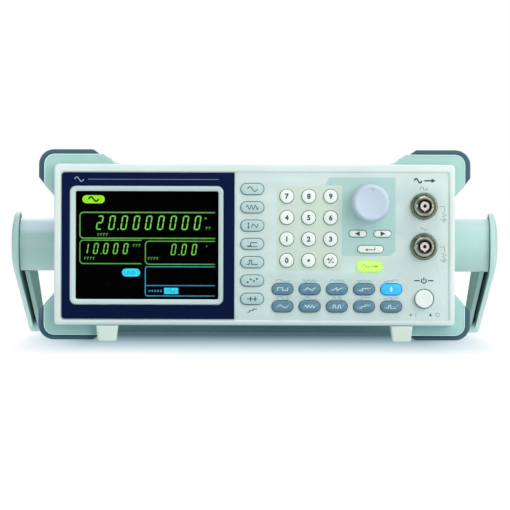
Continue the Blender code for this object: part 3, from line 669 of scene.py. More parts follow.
WAVE_STEPS = 28
CURVES = {  # height, from -1 to 1, at a share of the width
    "sine": lambda u: math.sin(math.tau * u),
    "fast": lambda u: math.sin(3 * math.tau * u),
    "swept": lambda u: math.sin(math.tau * (0.6 * u + 2.4 * u * u)),
    "am": lambda u: math.sin(4 * math.tau * u) * (0.35 + 0.65 * math.sin(math.pi * u)),
}
CORNERS = {  # in shares of the width and the height
    "square": [(0, 0), (0, 1), (0.5, 1), (0.5, 0), (1, 0), (1, 1)],
    "pulse": [(0, 0), (0.25, 0), (0.25, 1), (0.45, 1), (0.45, 0), (1, 0)],
    "double": [(0, 0), (0.15, 0), (0.15, 1), (0.35, 1), (0.35, 0), (0.65, 0), (0.65, 1), (0.85, 1),
               (0.85, 0), (1, 0)],
    "triangle": [(0, 0), (0.25, 1), (0.75, 0), (1, 1)],
    "ramp": [(0, 0), (0.5, 1), (0.5, 0), (1, 1)],
    "steps": [(0, 0), (0.25, 0), (0.25, 0.5), (0.6, 0.5), (0.6, 1), (1, 1)],
    "level": [(0, 0), (0.35, 0), (0.35, 0.8), (1, 0.8)],
}


def wave(kind, width, height):
    """Points of a waveform sign, centred on its own origin."""
    if kind in CORNERS:
        points = [(u - 0.5, v - 0.5) for u, v in CORNERS[kind]]
    else:
        times = [k / WAVE_STEPS for k in range(WAVE_STEPS + 1)]
        points = [(u - 0.5, CURVES[kind](u) / 2) for u in times]
    return [(u * width, v * height) for u, v in points]


def sign(kind, width, height, x, z, stroke=0.5):
    """A waveform sign as the outline of its stroke."""
    return ribbon(moved(wave(kind, width, height), x, z), stroke)


def arrow_head(x, z, size, turn=0.0):
    """A filled triangle that points right before it is turned."""
    corners = [cmath.rect(size, turn + angle) for angle in (0.0, 2.25, -2.25)]
    return [(x + c.real, z + c.imag) for c in corners]


# ---------------------------------------------------------------- front moulding


def make_bezel():
    """The frame with its rounded lip, the pierced panel, and the sloping rim of the screen."""
    outside = (-HALF_WIDTH, HALF_WIDTH, BEZEL.bottom, BEZEL.top)
    piece = Piece("bezel_moulding")
    edges = [box(*outside, 3.0), box(*FRAME_INSIDE, 1.5)]
    piece.add(filled(edges, BEZEL_FRONT, BEZEL.back, bevel=1.3, steps=4), "bezel")
    holes = [key_hole(node) for node in ALL_KEYS]
    button, knob = span("power_button"), span("tuning_knob")
    holes.append(circle(BUTTON_HOLE, button.x + BUTTON_SHIFT[0], button.z + BUTTON_SHIFT[1]))
    holes.append(circle(KNOB_HOLE, knob.x, knob.z))
    for node in ("sync_connector", "main_connector"):
        socket = span(node)
        holes.append(circle(SOCKET_HOLE, socket.x, socket.z))
    holes.append(box(*SCREEN, 1.3, grow=1.5))
    panel = filled([box(*FRAME_INSIDE, 1.5, grow=1.0), *holes], PANEL_FRONT, PANEL_BACK, bevel=0.22)
    piece.add(panel, "panel")
    sections = []
    behind = PANEL_BACK - 0.8 - BEZEL.front
    slope = ((0.0, behind), (0.0, 0.7), (0.06, 0.2), (0.18, 0.0), (0.5, 0.15), (0.9, 0.8), (1.0, 1.1),
             (1.0, behind))
    for share, depth in slope:
        sides = [a + (b - a) * share for a, b in zip(RIM_OUTSIDE, SCREEN)]
        sections.append((box(*sides, 4.0 - 2.7 * share), BEZEL.front + depth))
    piece.add(skinned(sections, closed=True), "rim")
    piece.finish("case", "panel", "front_bezel")


def make_surround():
    """The dark film round the screen, with a fine printed line and a small waveform."""
    edge = rounded([
        (SURROUND.right, SURROUND.top, 0.0), (SURROUND.left, SURROUND.top, 2.0),
        (SURROUND.left, SURROUND.bottom, 2.0), (SURROUND.right, SURROUND.bottom, 0.0),
    ])
    piece = Piece("surround_film")
    hole = box(*RIM_OUTSIDE, 4.0, grow=0.3)
    piece.add(filled([edge, hole], SURROUND.front, SURROUND.back, bevel=0.12), "surround")
    x, z = RIM_OUTSIDE[0] + 6.0, (SURROUND.top + RIM_OUTSIDE[3]) / 2
    marks = [
        sign("sine", 6.0, 3.0, x, z, 0.55),
        box(RIM_OUTSIDE[0] + 12.0, RIM_OUTSIDE[1] - 3.0, z - 0.12, z + 0.12),
    ]
    piece.add(prints(marks, SURROUND.front - 0.04, SURROUND.front + 0.1), "surround_line")
    piece.finish("case", "surround", "display_surround")


# ---------------------------------------------------------------- display

SEGMENTS = {  # which of the seven bars each figure lights: top, right pair, bottom, left pair, middle
    "0": "abcdef", "1": "bc", "2": "abged",
}
FIGURE_LEAN = 0.16


def seven_segment(figure, x, bottom, width, height, bar):
    """The lit bars of one figure as pointed outlines, leaning to the right."""
    left, right, top, middle = 0.0, width, height, height / 2
    gap = bar * 0.12
    bars = {
        "a": ((left, top), (right, top)), "g": ((left, middle), (right, middle)),
        "d": ((left, 0.0), (right, 0.0)), "f": ((left, middle), (left, top)),
        "b": ((right, middle), (right, top)), "e": ((left, 0.0), (left, middle)),
        "c": ((right, 0.0), (right, middle)),
    }
    outlines = []
    for name in SEGMENTS[figure]:
        start, end = [complex(*p) for p in bars[name]]
        along = (end - start) / abs(end - start)
        start, end = start + along * gap, end - along * gap
        side, tip = along * 1j * bar / 2, along * bar / 2
        corners = [start, start + tip + side, end - tip + side, end, end - tip - side,
                   start + tip - side]
        outlines.append([(x + p.real + FIGURE_LEAN * p.imag, bottom + p.imag) for p in corners])
    return outlines


def open_box(left, right, bottom, top, stroke, corner=2.4):
    """A frame with rounded left corners, open on its right."""
    path = [(right, top)]
    for centre_z, start in ((top - corner, math.pi / 2), (bottom + corner, math.pi)):
        for k in range(7):
            a = start + math.pi / 2 * k / 6
            path.append((left + corner + corner * math.cos(a), centre_z + corner * math.sin(a)))
    path.append((right, bottom))
    return ribbon(path, stroke)


def figures(digits, x, z, height, pitch, bar):
    """The lit bars of a row of digits and points."""
    outlines = []
    for character in digits:
        if character == ".":
            middle = x - pitch * 0.22
            outlines.append(box(middle - bar * 0.45, middle + bar * 0.45, z - bar * 0.55, z + bar * 0.35))
            continue
        outlines += seven_segment(character, x, z, height * 0.37, height, bar)
        x += pitch
    return outlines


def make_display():
    """The black panel of the module with its glowing figures, and the window in front."""
    module = span("lcd_module")
    face = module.front
    piece = Piece("display_figures")
    sides = (module.left, module.right, module.bottom, module.top)
    piece.add(filled([box(*sides, 1.0)], face, module.back, bevel=0.3), "screen")
    left, right, _, top = SCREEN
    low, high = face - 0.08, face + 0.05
    over = (low - 0.05, low + 0.02)  # in front of the filled shapes
    digits = figures("20.0000000", left + 13.5, top - 25.4, 8.7, 8.13, 0.85)
    digits += figures("10.000", left + 4.9, top - 41.6, 6.6, 6.6, 0.7)
    digits += figures("0.00", left + 63.2, top - 42.2, 6.8, 6.85, 0.7)
    piece.add(prints(digits, low, high), "green")
    piece.add(prints([pill(15.0, 5.4, left + 11.6, top - 5.5)], low, high), "lime")
    piece.add(prints([sign("sine", 6.8, 2.9, left + 11.6, top - 5.4, 0.95)], *over), "screen")
    lines = [
        open_box(left + 2.6, right - 2.4, top - 31.4, top - 14.2, 0.85),
        open_box(left + 2.6, left + 43.6, top - 48.3, top - 32.7, 0.7),
        open_box(left + 46.2, right - 2.4, top - 48.6, top - 33.3, 0.7),
    ]
    piece.add(prints(lines, low, high), "green_line")
    small = []
    for x, z, count in ((14.4, 29.0, 4), (5.6, 44.8, 4), (48.0, 44.8, 4), (86.5, 24.6, 2), (38.0, 36.2, 3)):
        for k in range(count):
            bar_x, bar_z = left + x + k * 1.9, top - z
            small.append(box(bar_x, bar_x + 0.42, bar_z - 0.9, bar_z + 0.9))
            small.append(box(bar_x + 0.42, bar_x + 1.2, bar_z + 0.45, bar_z + 0.9))
    small += [pill(1.5, 1.1, right - 8.6, top - 18.0), pill(0.9, 0.9, right - 7.9, top - 36.6)]
    piece.add(prints(small, low, high), "green_line")
    cyan = [pill(12.2, 5.3, left + 36.7, top - 54.2),
            box(left + 58.7, left + 68.2, top - 68.4, top - 64.3)]
    piece.add(prints(cyan, low, high), "cyan")
    marks = [sign("double", 6.0, 1.6, left + 36.7, top - 54.2, 0.4),
             sign("square", 4.4, 1.6, left + 63.4, top - 66.4, 0.4)]
    piece.add(prints(marks, *over), "cyan_line")
    lines = [open_box(left + 46.2, right - 2.4, top - 69.7, top - 50.3, 0.7, 1.4),
             box(left + 46.6, right - 2.4, top - 63.1, top - 62.5)]
    lines += [pill(1.3, 1.7, left + 49.0 + 1.9 * k, top - 66.4) for k in range(5)]
    piece.add(prints(lines, low, high), "cyan_line")
    piece.finish("case", "lcd", "lcd_module")
    window = Piece("screen_window")
    sides = (WINDOW.left, WINDOW.right, WINDOW.bottom, WINDOW.top)
    window.add(filled([box(*sides, 0.8)], WINDOW.front, WINDOW.back, bevel=0.15), "window")
    window.finish("case", "window", "display_window")


# ---------------------------------------------------------------- keys, button and knob

KEY_EDGE, KEY_DOME = 0.75, 0.22


def cap_meshes(node):
    """A key's skirt with its flange, and the cap with a rounded edge and a slightly domed face."""
    key, less = span(node), FLANGE + TRIM.get(node, 0.0)
    width, height = key.width - 2 * less, key.height - 2 * less

    def ring(grow):
        return pill(width, height, key.x, key.z, grow, 10)

    shelf, seam = key.back - FLANGE_THICKNESS, PANEL_FRONT - 0.15
    skirt = [(ring(FLANGE), key.back), (ring(FLANGE), shelf), (ring(0.0), shelf), (ring(0.0), seam)]
    sections = [(ring(0.0), seam)]
    for inset, place in fillet(0.0, key.front + KEY_DOME, -1, KEY_EDGE):
        sections.append((ring(inset), place))
    reach = height / 2 * 0.9
    for share in (0.25, 0.5, 0.75, 1.0):
        inset = KEY_EDGE + (reach - KEY_EDGE) * share
        sections.append((ring(-inset), key.front + KEY_DOME * (1 - share) ** 2))
    return skinned(skirt), skinned(sections)


def make_key(node, paint, ink, outlines, words=None):
    """One key with its printed sign or digit."""
    key = span(node)
    piece = Piece(node.replace("_key", "_cap"))
    skirt, cap = cap_meshes(node)
    piece.add(cap, paint)
    # the skirt and flange take the darker colour: painted shade in the gap round the key
    piece.add(skirt, paint if paint == "key_lit" else "key_skirt")
    if outlines:
        shifted = [moved(outline, key.x, key.z) for outline in outlines]
        piece.add(prints(shifted, key.front - 0.02, key.front + 0.2), ink)
    if words:
        piece.add(lettering(words, key.x, key.z, key.front), ink)
    piece.finish(node, paint, node, smooth=40)


MENU_SIGNS = {
    "waveform_key": [sign("sine", 6.6, 3.0, 0, 0, 0.55)],
    "frequency_key": [sign("fast", 8.0, 2.8, 0, 0)],
    "amplitude_key": [ribbon([(-2.6, -1.1), (-2.6, 1.1)], 0.5), arrow_head(-2.6, 1.4, 0.9, math.pi / 2),
                      arrow_head(-2.6, -1.4, 0.9, -math.pi / 2), sign("triangle", 4.6, 2.6, 1.7, 0)],
    "offset_key": [sign("level", 6.6, 2.6, 0, 0, 0.55), box(-3.3, 3.3, -1.9, -1.5)],
    "duty_key": [sign("pulse", 7.4, 2.7, 0, 0, 0.55)],
    "point_key": [pill(1.3, 1.3, x, z) for x, z in ((-3.0, -1.0), (-0.9, 0.7), (1.2, -0.3), (3.2, 1.1))],
    "value_key": [box(-3.6, 3.6, -0.25, 0.25), box(-1.3, -0.6, -1.5, 1.5), box(1.6, 2.3, -1.5, 1.5)],
}
WHITE_SIGNS = {
    "number_key_point": [pill(1.8, 1.8)],
    "number_key_sign": [box(-2.4, -0.4, 0.66, 1.18), box(-1.66, -1.14, -0.08, 0.66),
                        box(-1.66, -1.14, 1.18, 1.92), box(0.5, 2.4, -1.4, -0.88),
                        ribbon([(-1.2, -1.8), (1.3, 1.8)], 0.6)],
    "left_arrow_key": [arrow_head(0.0, 0.0, 2.0, math.pi)],
    "right_arrow_key": [arrow_head(0.0, 0.0, 2.0)],
    "enter_key": [ribbon([(3.0, 1.3), (3.0, -0.4), (-2.0, -0.4)], 0.5),
                  arrow_head(-2.6, -0.4, 1.1, math.pi)],
}
OUTPUT_SIGN = [sign("sine", 5.0, 2.4, -2.4, 0), ribbon([(1.2, 0.0), (4.4, 0.0)], 0.5),
               arrow_head(4.6, 0.0, 1.1)]
FUNCTION_SIGNS = ("square", "triangle", "ramp", "level", None, "sine", "fast", "double", "steps", "pulse")
RAISED_SIGN = [arrow_head(0.0, 0.5, 1.5, math.pi / 2), box(-0.5, 0.5, -1.7, -0.4)]
CAPTIONS = ("sine", "fast", "swept", "am", "steps", "square", "pulse", "double", "level", "ramp")


def make_keys():
    """All the keys, each printed with a digit, an arrow or a waveform."""
    for node in MENU_KEYS:
        make_key(node, "key_mint", "dark_ink", MENU_SIGNS[node])
    for node, digit in NUMBER_KEYS.items():
        make_key(node, "key_white", "dark_ink", WHITE_SIGNS.get(node, ()), digit)
    for node in ("left_arrow_key", "right_arrow_key", "enter_key"):
        make_key(node, "key_white", "dark_ink", WHITE_SIGNS[node])
    make_key("output_key", "key_lit", "green_ink", OUTPUT_SIGN)
    for node, kind in zip(FUNCTION_KEYS, FUNCTION_SIGNS):
        if kind:
            make_key(node, "key_blue", "white_ink", [sign(kind, 6.6, 2.0, 0, 0, 0.42)])
        else:
            make_key(node, "key_bright", "white_ink", RAISED_SIGN)


BUTTON_RADIUS, BUTTON_STEM = 6.0, 2.5
DIMPLE_RADIUS, DIMPLE_DEPTH = 1.7, 0.75
FLUTES = 36


def make_power_button():
    """The round push button with a shallow dish in its face, and its stem."""
    button = span("power_button")
    flange_front = PANEL_BACK + 0.3
    flange_back = flange_front + FLANGE_THICKNESS
    profile = [(BUTTON_STEM, button.back), (BUTTON_STEM, flange_back), (button.width / 2, flange_back),
               (button.width / 2, flange_front), (BUTTON_RADIUS, flange_front)]
    profile += fillet(BUTTON_RADIUS, button.front, -1, 0.8, 5)
    for inset, depth in ((1.5, 0.05), (2.6, 0.16), (4.2, 0.26), (5.4, 0.3)):
        profile.append((BUTTON_RADIUS - inset, button.front + depth))
    piece = Piece("power_button_cap")
    piece.add(turned(profile, button.x, button.z), "key_white")
    piece.finish("power_button", "key_white", "power_button", smooth=40)


def make_knob():
    """The tuning knob: a finely fluted side, a rolled edge, a dished face and a finger dimple."""
    knob = span("tuning_knob")
    radius, front, back = knob.width / 2, knob.front, knob.back

    def ring(size, depth=0.0):
        points = []
        for k in range(FLUTES * 4):
            a = math.pi / 2 * k / FLUTES
            r = size - depth * (0.5 - 0.5 * math.cos(FLUTES * a))
            points.append((knob.x + r * math.cos(a), knob.z + r * math.sin(a)))
        return points

    sections = [
        (ring(3.3), front + 3.6), (ring(3.3), back), (ring(radius - 0.3), back), (ring(radius), back - 0.3),
        (ring(radius), back - 2.2), (ring(radius - 0.35), back - 2.6), (ring(radius - 0.4, 0.28), back - 3.4),
        (ring(radius - 0.75, 0.28), front + 3.2), (ring(radius - 0.85, 0.1), front + 2.0),
    ]
    for inset, depth in ((1.2, 1.0), (1.75, 0.35), (2.5, 0.0), (3.3, 0.12), (5.0, 0.5), (8.0, 0.8)):
        sections.append((ring(radius - inset), front + depth))
    sections.append((ring(1.0), front + 0.9))
    piece = Piece("knob_cap")
    piece.add(skinned(sections), "knob")
    obj = piece.finish("tuning_knob", "knob", "tuning_knob", smooth=40)
    shape = bmesh.new()
    bmesh.ops.create_uvsphere(shape, u_segments=24, v_segments=14, radius=1.0)
    size = Matrix.Diagonal((DIMPLE_RADIUS * MM, DIMPLE_DEPTH * MM, DIMPLE_RADIUS * MM, 1.0))
    place = Vector((knob.x, front + 0.15, knob.z + radius * 0.66)) * MM
    shape.transform(Matrix.Translation(place) @ size)
    cut_with(obj, as_mesh(shape, "dimple"))


def cut_with(obj, cutter_mesh, operation="DIFFERENCE"):
    """Applies a Boolean to an object, then drops the cutter."""
    cutter = placed("cutter", cutter_mesh)
    parent, obj.parent = obj.parent, None
    modifier = obj.modifiers.new("cut", "BOOLEAN")
    modifier.operation = operation
    modifier.object = cutter
    bpy.context.view_layer.update()
    mesh = evaluated_mesh(obj)
    obj.modifiers.clear()
    obj.data = mesh
    obj.parent = parent
    bpy.data.objects.remove(cutter)


# ---------------------------------------------------------------- connectors

SOCKET_REACH = 13.0  # from the surface that the ring stands on to the socket's tip


def make_socket(node, name, back_side=False):
    """A bayonet coaxial socket: plain turned ring, nut, barrel with two lugs, insulator and contact."""
    socket = span(node)
    x, z, ring = socket.x, socket.z, socket.width / 2
    out = 1 if back_side else -1
    tip = socket.back if back_side else socket.front
    face = tip - out * SOCKET_REACH

    def at(*points):
        return [(radius, face + out * height) for radius, height in points]

    piece = Piece(name)
    ring_profile = at((5.9, 0.1), (ring - 0.25, 0.1), (ring, 0.35), (ring, 1.5), (ring - 0.5, 2.1),
                      (ring - 1.3, 2.3), (ring - 1.9, 2.1), (ring - 2.2, 1.7), (5.9, 1.7))
    piece.add(turned(ring_profile, x, z, sides=60, closed=True), "nickel")
    nut = at((5.0, 1.6), (6.3, 1.6), (6.5, 1.8), (6.5, 3.1), (6.2, 3.4), (5.0, 3.4))
    piece.add(turned(nut, x, z, sides=48, closed=True), "bright_metal")
    # the barrel's near-black colour is a painted dark reflection
    barrel = at((4.0, 1.2), (4.85, 1.2), (4.85, 5.4), (4.6, 5.6), (4.6, 6.0), (4.85, 6.2), (4.85, 12.5),
                (4.7, 12.85), (4.45, 13.0), (4.2, 12.9), (4.05, 12.6))
    piece.add(turned(barrel, x, z, sides=48, closed=True), "barrel_painted_dark_reflection")
    # the bore's floor is near black: painted shade in the gap round the insulator
    bore = at((4.1, 3.4), (4.1, 4.0), (0.5, 4.0), (0.5, 3.4))
    piece.add(turned(bore, x, z, sides=32, closed=True), "hollow")
    core = at((3.1, 3.8), (3.1, 10.8), (2.9, 11.0), (1.45, 11.0), (1.15, 10.7), (1.15, 3.8))
    piece.add(turned(core, x, z, sides=32, closed=True), "insulator")
    notch = [(x - 1.5, z - 2.4), (x, z - 4.0), (x + 1.5, z - 2.4)]
    piece.add(filled([notch], *sorted((face + out * 4.1, face + out * 10.8)), bevel=0.1), "insulator")
    contact = at((0.98, 3.8), (0.98, 10.5), (0.85, 10.7), (0.55, 10.7), (0.5, 10.4), (0.5, 6.5), (0.5, 3.8))
    piece.add(turned(contact, x, z, sides=20, closed=True), "contact")
    for side in (-1, 1):
        lug = [(circle(radius, face + out * 9.0, z, 16), x + side * reach)
               for radius, reach in ((0.95, 4.5), (0.95, 5.6), (0.75, 5.8))]
        piece.add(skinned(lug, "x"), "bright_metal")
    end = socket.front if back_side else socket.back
    body = [(6.0, face - out * 0.1), (6.0, end + out * 10.0), (7.5, end + out * 10.0), (7.5, end)]
    piece.add(turned(body, x, z, sides=32), "nickel")
    piece.finish("case", "nickel", node, smooth=35)


# ---------------------------------------------------------------- printing on the panel


def arc(radius, x, z, first, last, steps):
    """Points along an arc between two angles, which run clockwise from the top."""
    turns = [first + (last - first) * k / steps for k in range(steps + 1)]
    return [(x + radius * math.sin(a), z + radius * math.cos(a)) for a in turns]


def earth_mark(x, z):
    """Outlines of a resistor that leads down to earth, from a socket's right side."""
    down = x + 3.2
    return [
        ribbon([(x, z), (down, z), (down, z - 3.2)], 0.32),
        ribbon([(down, z - 3.9), (down - 1.4, z - 4.7), (down + 1.4, z - 5.5), (down - 1.4, z - 6.3),
                (down, z - 7.0), (down, z - 8.2)], 0.3),
        box(x + 0.6, x + 5.0, z - 8.8, z - 8.45), box(x + 1.5, x + 4.2, z - 9.6, z - 9.25),
        box(x + 2.3, x + 3.5, z - 10.4, z - 10.05),
    ]


def add_beds(piece, low, high):
    """The tinted beds printed under the number keys, and under the knob and the arrows."""
    seven, sign_key = span("number_key_7"), span("number_key_sign")
    bed = box(seven.left - 1.4, sign_key.right + 1.7, sign_key.bottom - 1.3, seven.top + 1.2, 0.8)
    holes = [key_hole(node, BED_GAP) for node in NUMBER_KEYS]
    piece.add(filled([bed, *holes], low, high), "keypad_bed")
    knob, right_arrow, enter = span("tuning_knob"), span("right_arrow_key"), span("enter_key")
    left, right = sign_key.right + 2.0, right_arrow.right + 1.8
    top, bottom = knob.top + 4.2, enter.bottom - 0.8
    bed = rounded([
        (right, top, 0.6), (left - 8.5, top, 0.0), (left - 11.0, top - 5.4, 0.0), (left, top - 5.4, 0.0),
        (left, bottom, 0.6), (right - 3.5, bottom, 0.0), (right, bottom + 3.5, 0.0),
    ])
    holes = [key_hole(node, BED_GAP) for node in ("left_arrow_key", "right_arrow_key", "enter_key")]
    holes.append(circle(KNOB_HOLE + 0.4, knob.x, knob.z))
    piece.add(filled([bed, *holes], low, high), "arrow_bed")


def make_printing():
    """Printed beds, rules and signs on the panel."""
    piece = Piece("panel_printing")
    low, high = PANEL_FRONT - INK, PANEL_FRONT + 0.1
    add_beds(piece, low, high)
    sync, main, button = span("sync_connector"), span("main_connector"), span("power_button")
    value = span("value_key")
    above, below, sync_line = button.top + 4.4, button.bottom - 3.1, sync.top + 8.0
    ink = [
        sign("sine", 5.2, 2.8, sync.x - 4.0, sync_line, 0.95),
        ribbon([(sync.x + 0.2, sync_line), (sync.x + 5.6, sync_line)], 0.95),
        arrow_head(sync.x + 6.0, sync_line, 1.8),
        box(button.x - 6.4, button.x - 2.8, above - 0.4, above + 0.4),
        box(button.x + 2.8, button.x + 6.4, above - 0.4, above + 0.4),
        ribbon(arc(1.6, button.x, above, 0.75, math.tau - 0.75, 20), 0.75),
        ribbon([(button.x, above + 0.1), (button.x, above + 2.1)], 0.75),
        sign("steps", 6.4, 2.0, value.x, value.bottom - 3.4),
        arrow_head(button.x - 8.6, below, 0.95, math.pi / 2),
        arrow_head(button.x + 4.5, below, 1.2, math.pi / 2),
    ]
    piece.add(prints(ink, low, high), "dark_ink")
    faint = [
        box(button.x - 5.5, button.x - 5.1, below - 1.1, below + 1.1),
        ribbon(arc(1.25, button.x + 9.1, below, math.pi / 2, -math.tau * 17 / 24, 23), 0.35),
        sign("square", 4.6, 1.5, sync.x - 0.3, sync.top + 2.7, 0.4),
        sign("sine", 4.6, 1.6, main.x - 0.3, main.top + 2.9, 0.42),
    ]
    for socket in (sync, main):
        faint += earth_mark(socket.right + 1.5, socket.z - 0.2)
    piece.add(prints(faint, low, high), "soft_ink")
    captions = []
    for node, kind in zip(FUNCTION_KEYS, CAPTIONS):
        key = span(node)
        wide = 7.0 if kind in ("square", "double") else 9.6
        captions.append(sign(kind, wide, 1.3, key.x, key.top + 1.1))
    piece.add(prints(captions, low, high), "cyan_ink")
    inset = (sync.left - 3.4, sync.right + 7.4, main.bottom - 5.8, sync.top + 10.2)
    groove = [box(*inset, 1.5), box(*inset, 1.5, grow=-0.28)]
    piece.add(filled(groove, PANEL_FRONT - 0.02, high), "keypad_bed")
    piece.finish("case", "panel")


# ---------------------------------------------------------------- protectors and feet

BAND = span("front_protector")
LOBE_X, LOBE_Z, LOBE_CORNER = BAND.width / 2 + 0.4, BAND.height / 2, 7.0
SIDE_RUBBER = 0.5  # how much thicker the rubber is at the sides than above and below
LIP_WIDTH, LIP_HEIGHT = 0.75, 0.35
BAND_X, BAND_Z = HALF_WIDTH - 0.3, HALF_HEIGHT - 0.3
SIDE_END, SIDE_FOOT, TOP_END, TOP_FOOT = 40.0, 31.3, 101.0, 91.0
RUBBER_SIDE_END, RUBBER_TOP_END, RUBBER_SLANT = 44.8, 107.8, 4.2
COVER = span("rear_panel")


def all_corners(quarter):
    """A closed outline about the case's middle from its upper right quarter."""
    corners = list(quarter)
    corners += [(-x, z, r) for x, z, r in reversed(quarter)]
    corners += [(-x, -z, r) for x, z, r in quarter]
    corners += [(x, -z, r) for x, z, r in reversed(quarter)]
    return moved(rounded(corners, 8), 0.0, MIDDLE)


def each_corner(quarter):
    """Closed outlines in the case's four corners, from the upper right one's."""
    return [moved(rounded([(right * x, up * z, r) for x, z, r in quarter], 8), 0.0, MIDDLE)
            for right in (1, -1) for up in (1, -1)]


def make_protector(side):
    """A hard protector ring and the rubber edge that wraps its four corners."""
    band, edge = span(f"{side}_protector"), span(f"{side}_rubber_edge")
    thickness = edge.height / 2 - LOBE_Z
    opening = box(COVER.left, COVER.right, COVER.bottom, COVER.top, 4.0, grow=0.3)
    outline = all_corners([
        (BAND_X, SIDE_FOOT, 1.5), (LOBE_X, SIDE_END, 2.0), (LOBE_X, LOBE_Z, LOBE_CORNER),
        (TOP_END, LOBE_Z, 2.0), (TOP_FOOT, BAND_Z, 1.5),
    ])
    piece = Piece(f"{side}_protector_ring")
    piece.add(filled([outline, opening], band.front, band.back, bevel=0.8, steps=3), "protector")
    # the lips take a paler colour: a painted highlight along the rubber's inner edge
    lips = each_corner([
        (LOBE_X - LIP_WIDTH, SIDE_END + 1.0, 0.0), (LOBE_X, SIDE_END + 1.0, 0.0),
        (LOBE_X, LOBE_Z, LOBE_CORNER), (TOP_END + 1.0, LOBE_Z, 0.0), (TOP_END + 1.0, LOBE_Z - LIP_WIDTH, 0.0),
        (LOBE_X - LIP_WIDTH, LOBE_Z - LIP_WIDTH, LOBE_CORNER - LIP_WIDTH),
    ])
    for lip in lips:
        piece.add(filled([lip], band.front - LIP_HEIGHT, band.front + 1.0, bevel=0.2), "protector_lip_painted_highlight")
    piece.finish("case", "protector", f"{side}_protector")
    x, z = LOBE_X + thickness + SIDE_RUBBER, LOBE_Z + thickness
    outer = [(x, RUBBER_SIDE_END, 0.8), (x, z, LOBE_CORNER + thickness), (RUBBER_TOP_END, z, 0.8)]
    slant_end = RUBBER_TOP_END - RUBBER_SLANT
    plate = all_corners([
        (BAND_X, SIDE_FOOT, 0.0), (LOBE_X, SIDE_END, 0.0), *outer, (slant_end, LOBE_Z, 0.0),
        (TOP_END, LOBE_Z, 0.0), (TOP_FOOT, BAND_Z, 0.0),
    ])
    rubber = Piece(f"{side}_rubber_wrap")
    rubber.add(filled([plate, opening], band.back + 0.3, edge.back, bevel=0.6, steps=3), "rubber")
    gap = 0.3
    wraps = each_corner([
        (LOBE_X + gap, SIDE_END + 0.6, 0.0), *outer, (slant_end + 0.4, LOBE_Z + gap, 0.0),
        (LOBE_X + gap, LOBE_Z + gap, LOBE_CORNER + gap),
    ])
    for wrap in wraps:
        rubber.add(filled([wrap], edge.front, edge.back - 0.8, bevel=0.5, steps=3), "rubber")
    rubber.finish("case", "rubber", f"{side}_rubber_edge")


def make_feet():
    """Tapered feet with rounded edges."""
    for side in ("left", "right"):
        foot = span(f"front_{side}_foot")
        low, high = foot.bottom, foot.top
        sections = []
        for height, width, depth in ((low, 11.7, 6.2), (low + 0.5, 12.5, 7.0), (high - 2.6, 14.2, 8.0),
                                     (high - 1.2, 14.7, 8.4), (high, 14.7, 8.4)):
            outline = box(-width / 2, width / 2, -depth / 2, depth / 2, 1.6)
            sections.append((moved(outline, foot.x, foot.y), height))
        piece = Piece(f"front_{side}_foot_pad")
        piece.add(skinned(sections, "z"), "foot")
        piece.finish("case", "foot", f"front_{side}_foot", smooth=25)


# ---------------------------------------------------------------- handle and hubs

HANDLE, HUB = span("handle"), span("right_pivot_hub")
PIVOT = complex(HUB.y, HUB.z)
PLATE_RADIUS = PIVOT.real - HANDLE.front
TIP_RADIUS = 9.2
TIP = complex(HANDLE.back - TIP_RADIUS, HANDLE.bottom + TIP_RADIUS)
ARM = TIP - PIVOT
SPIGOT_LENGTH = 3.4
HUB_RADIUS, HUB_END = HUB.height / 2, HUB.right - SPIGOT_LENGTH
PLATE_INSIDE = HUB_END + 0.3
PLATE_RIM, PLATE_TOP, DOME_WIDTH = HANDLE.right - 3.8, HANDLE.right - 0.8, 9.0
ARM_INSIDE, INNER_WALL, WEB = 154.0, 3.0, 3.2
GRIP_WIDTH, GRIP_THICKNESS = 24.0, 9.0
RIDGE_PITCH, RIDGE_WIDTH = 8.0, 2.4
HUB_GROOVE = 0.35


def arm_outline(wide, narrow=TIP_RADIUS):
    """The arm from the side: a round end about the pivot that tapers to the tip."""
    lean = math.acos((wide - narrow) / abs(ARM))
    along = cmath.phase(ARM)
    points = []
    for centre, radius, first, last, count in (
        (PIVOT, wide, along + lean, along + math.tau - lean, 28),
        (TIP, narrow, along - lean, along + lean, 12),
    ):
        for k in range(count + 1):
            point = centre + cmath.rect(radius, first + (last - first) * k / count)
            points.append((point.real, point.imag))
    return points


def arm_pocket():
    """The hollow along the arm, closed at the tip and above, open on its underside."""
    along = ARM / abs(ARM)
    length = abs(ARM) - TIP_RADIUS + 1.0
    corners = [(0.0, HUB_RADIUS - WEB), (0.0, -40.0), (length, -40.0), (length, TIP_RADIUS - WEB)]
    points = [PIVOT + along * complex(u, v) for u, v in corners]
    return [(p.real, p.imag) for p in points]


def between(outline, low, high):
    """A solid with that outline in the handle's plane, between two places across the case."""
    return skinned([(outline, low), (outline, high)], "x")


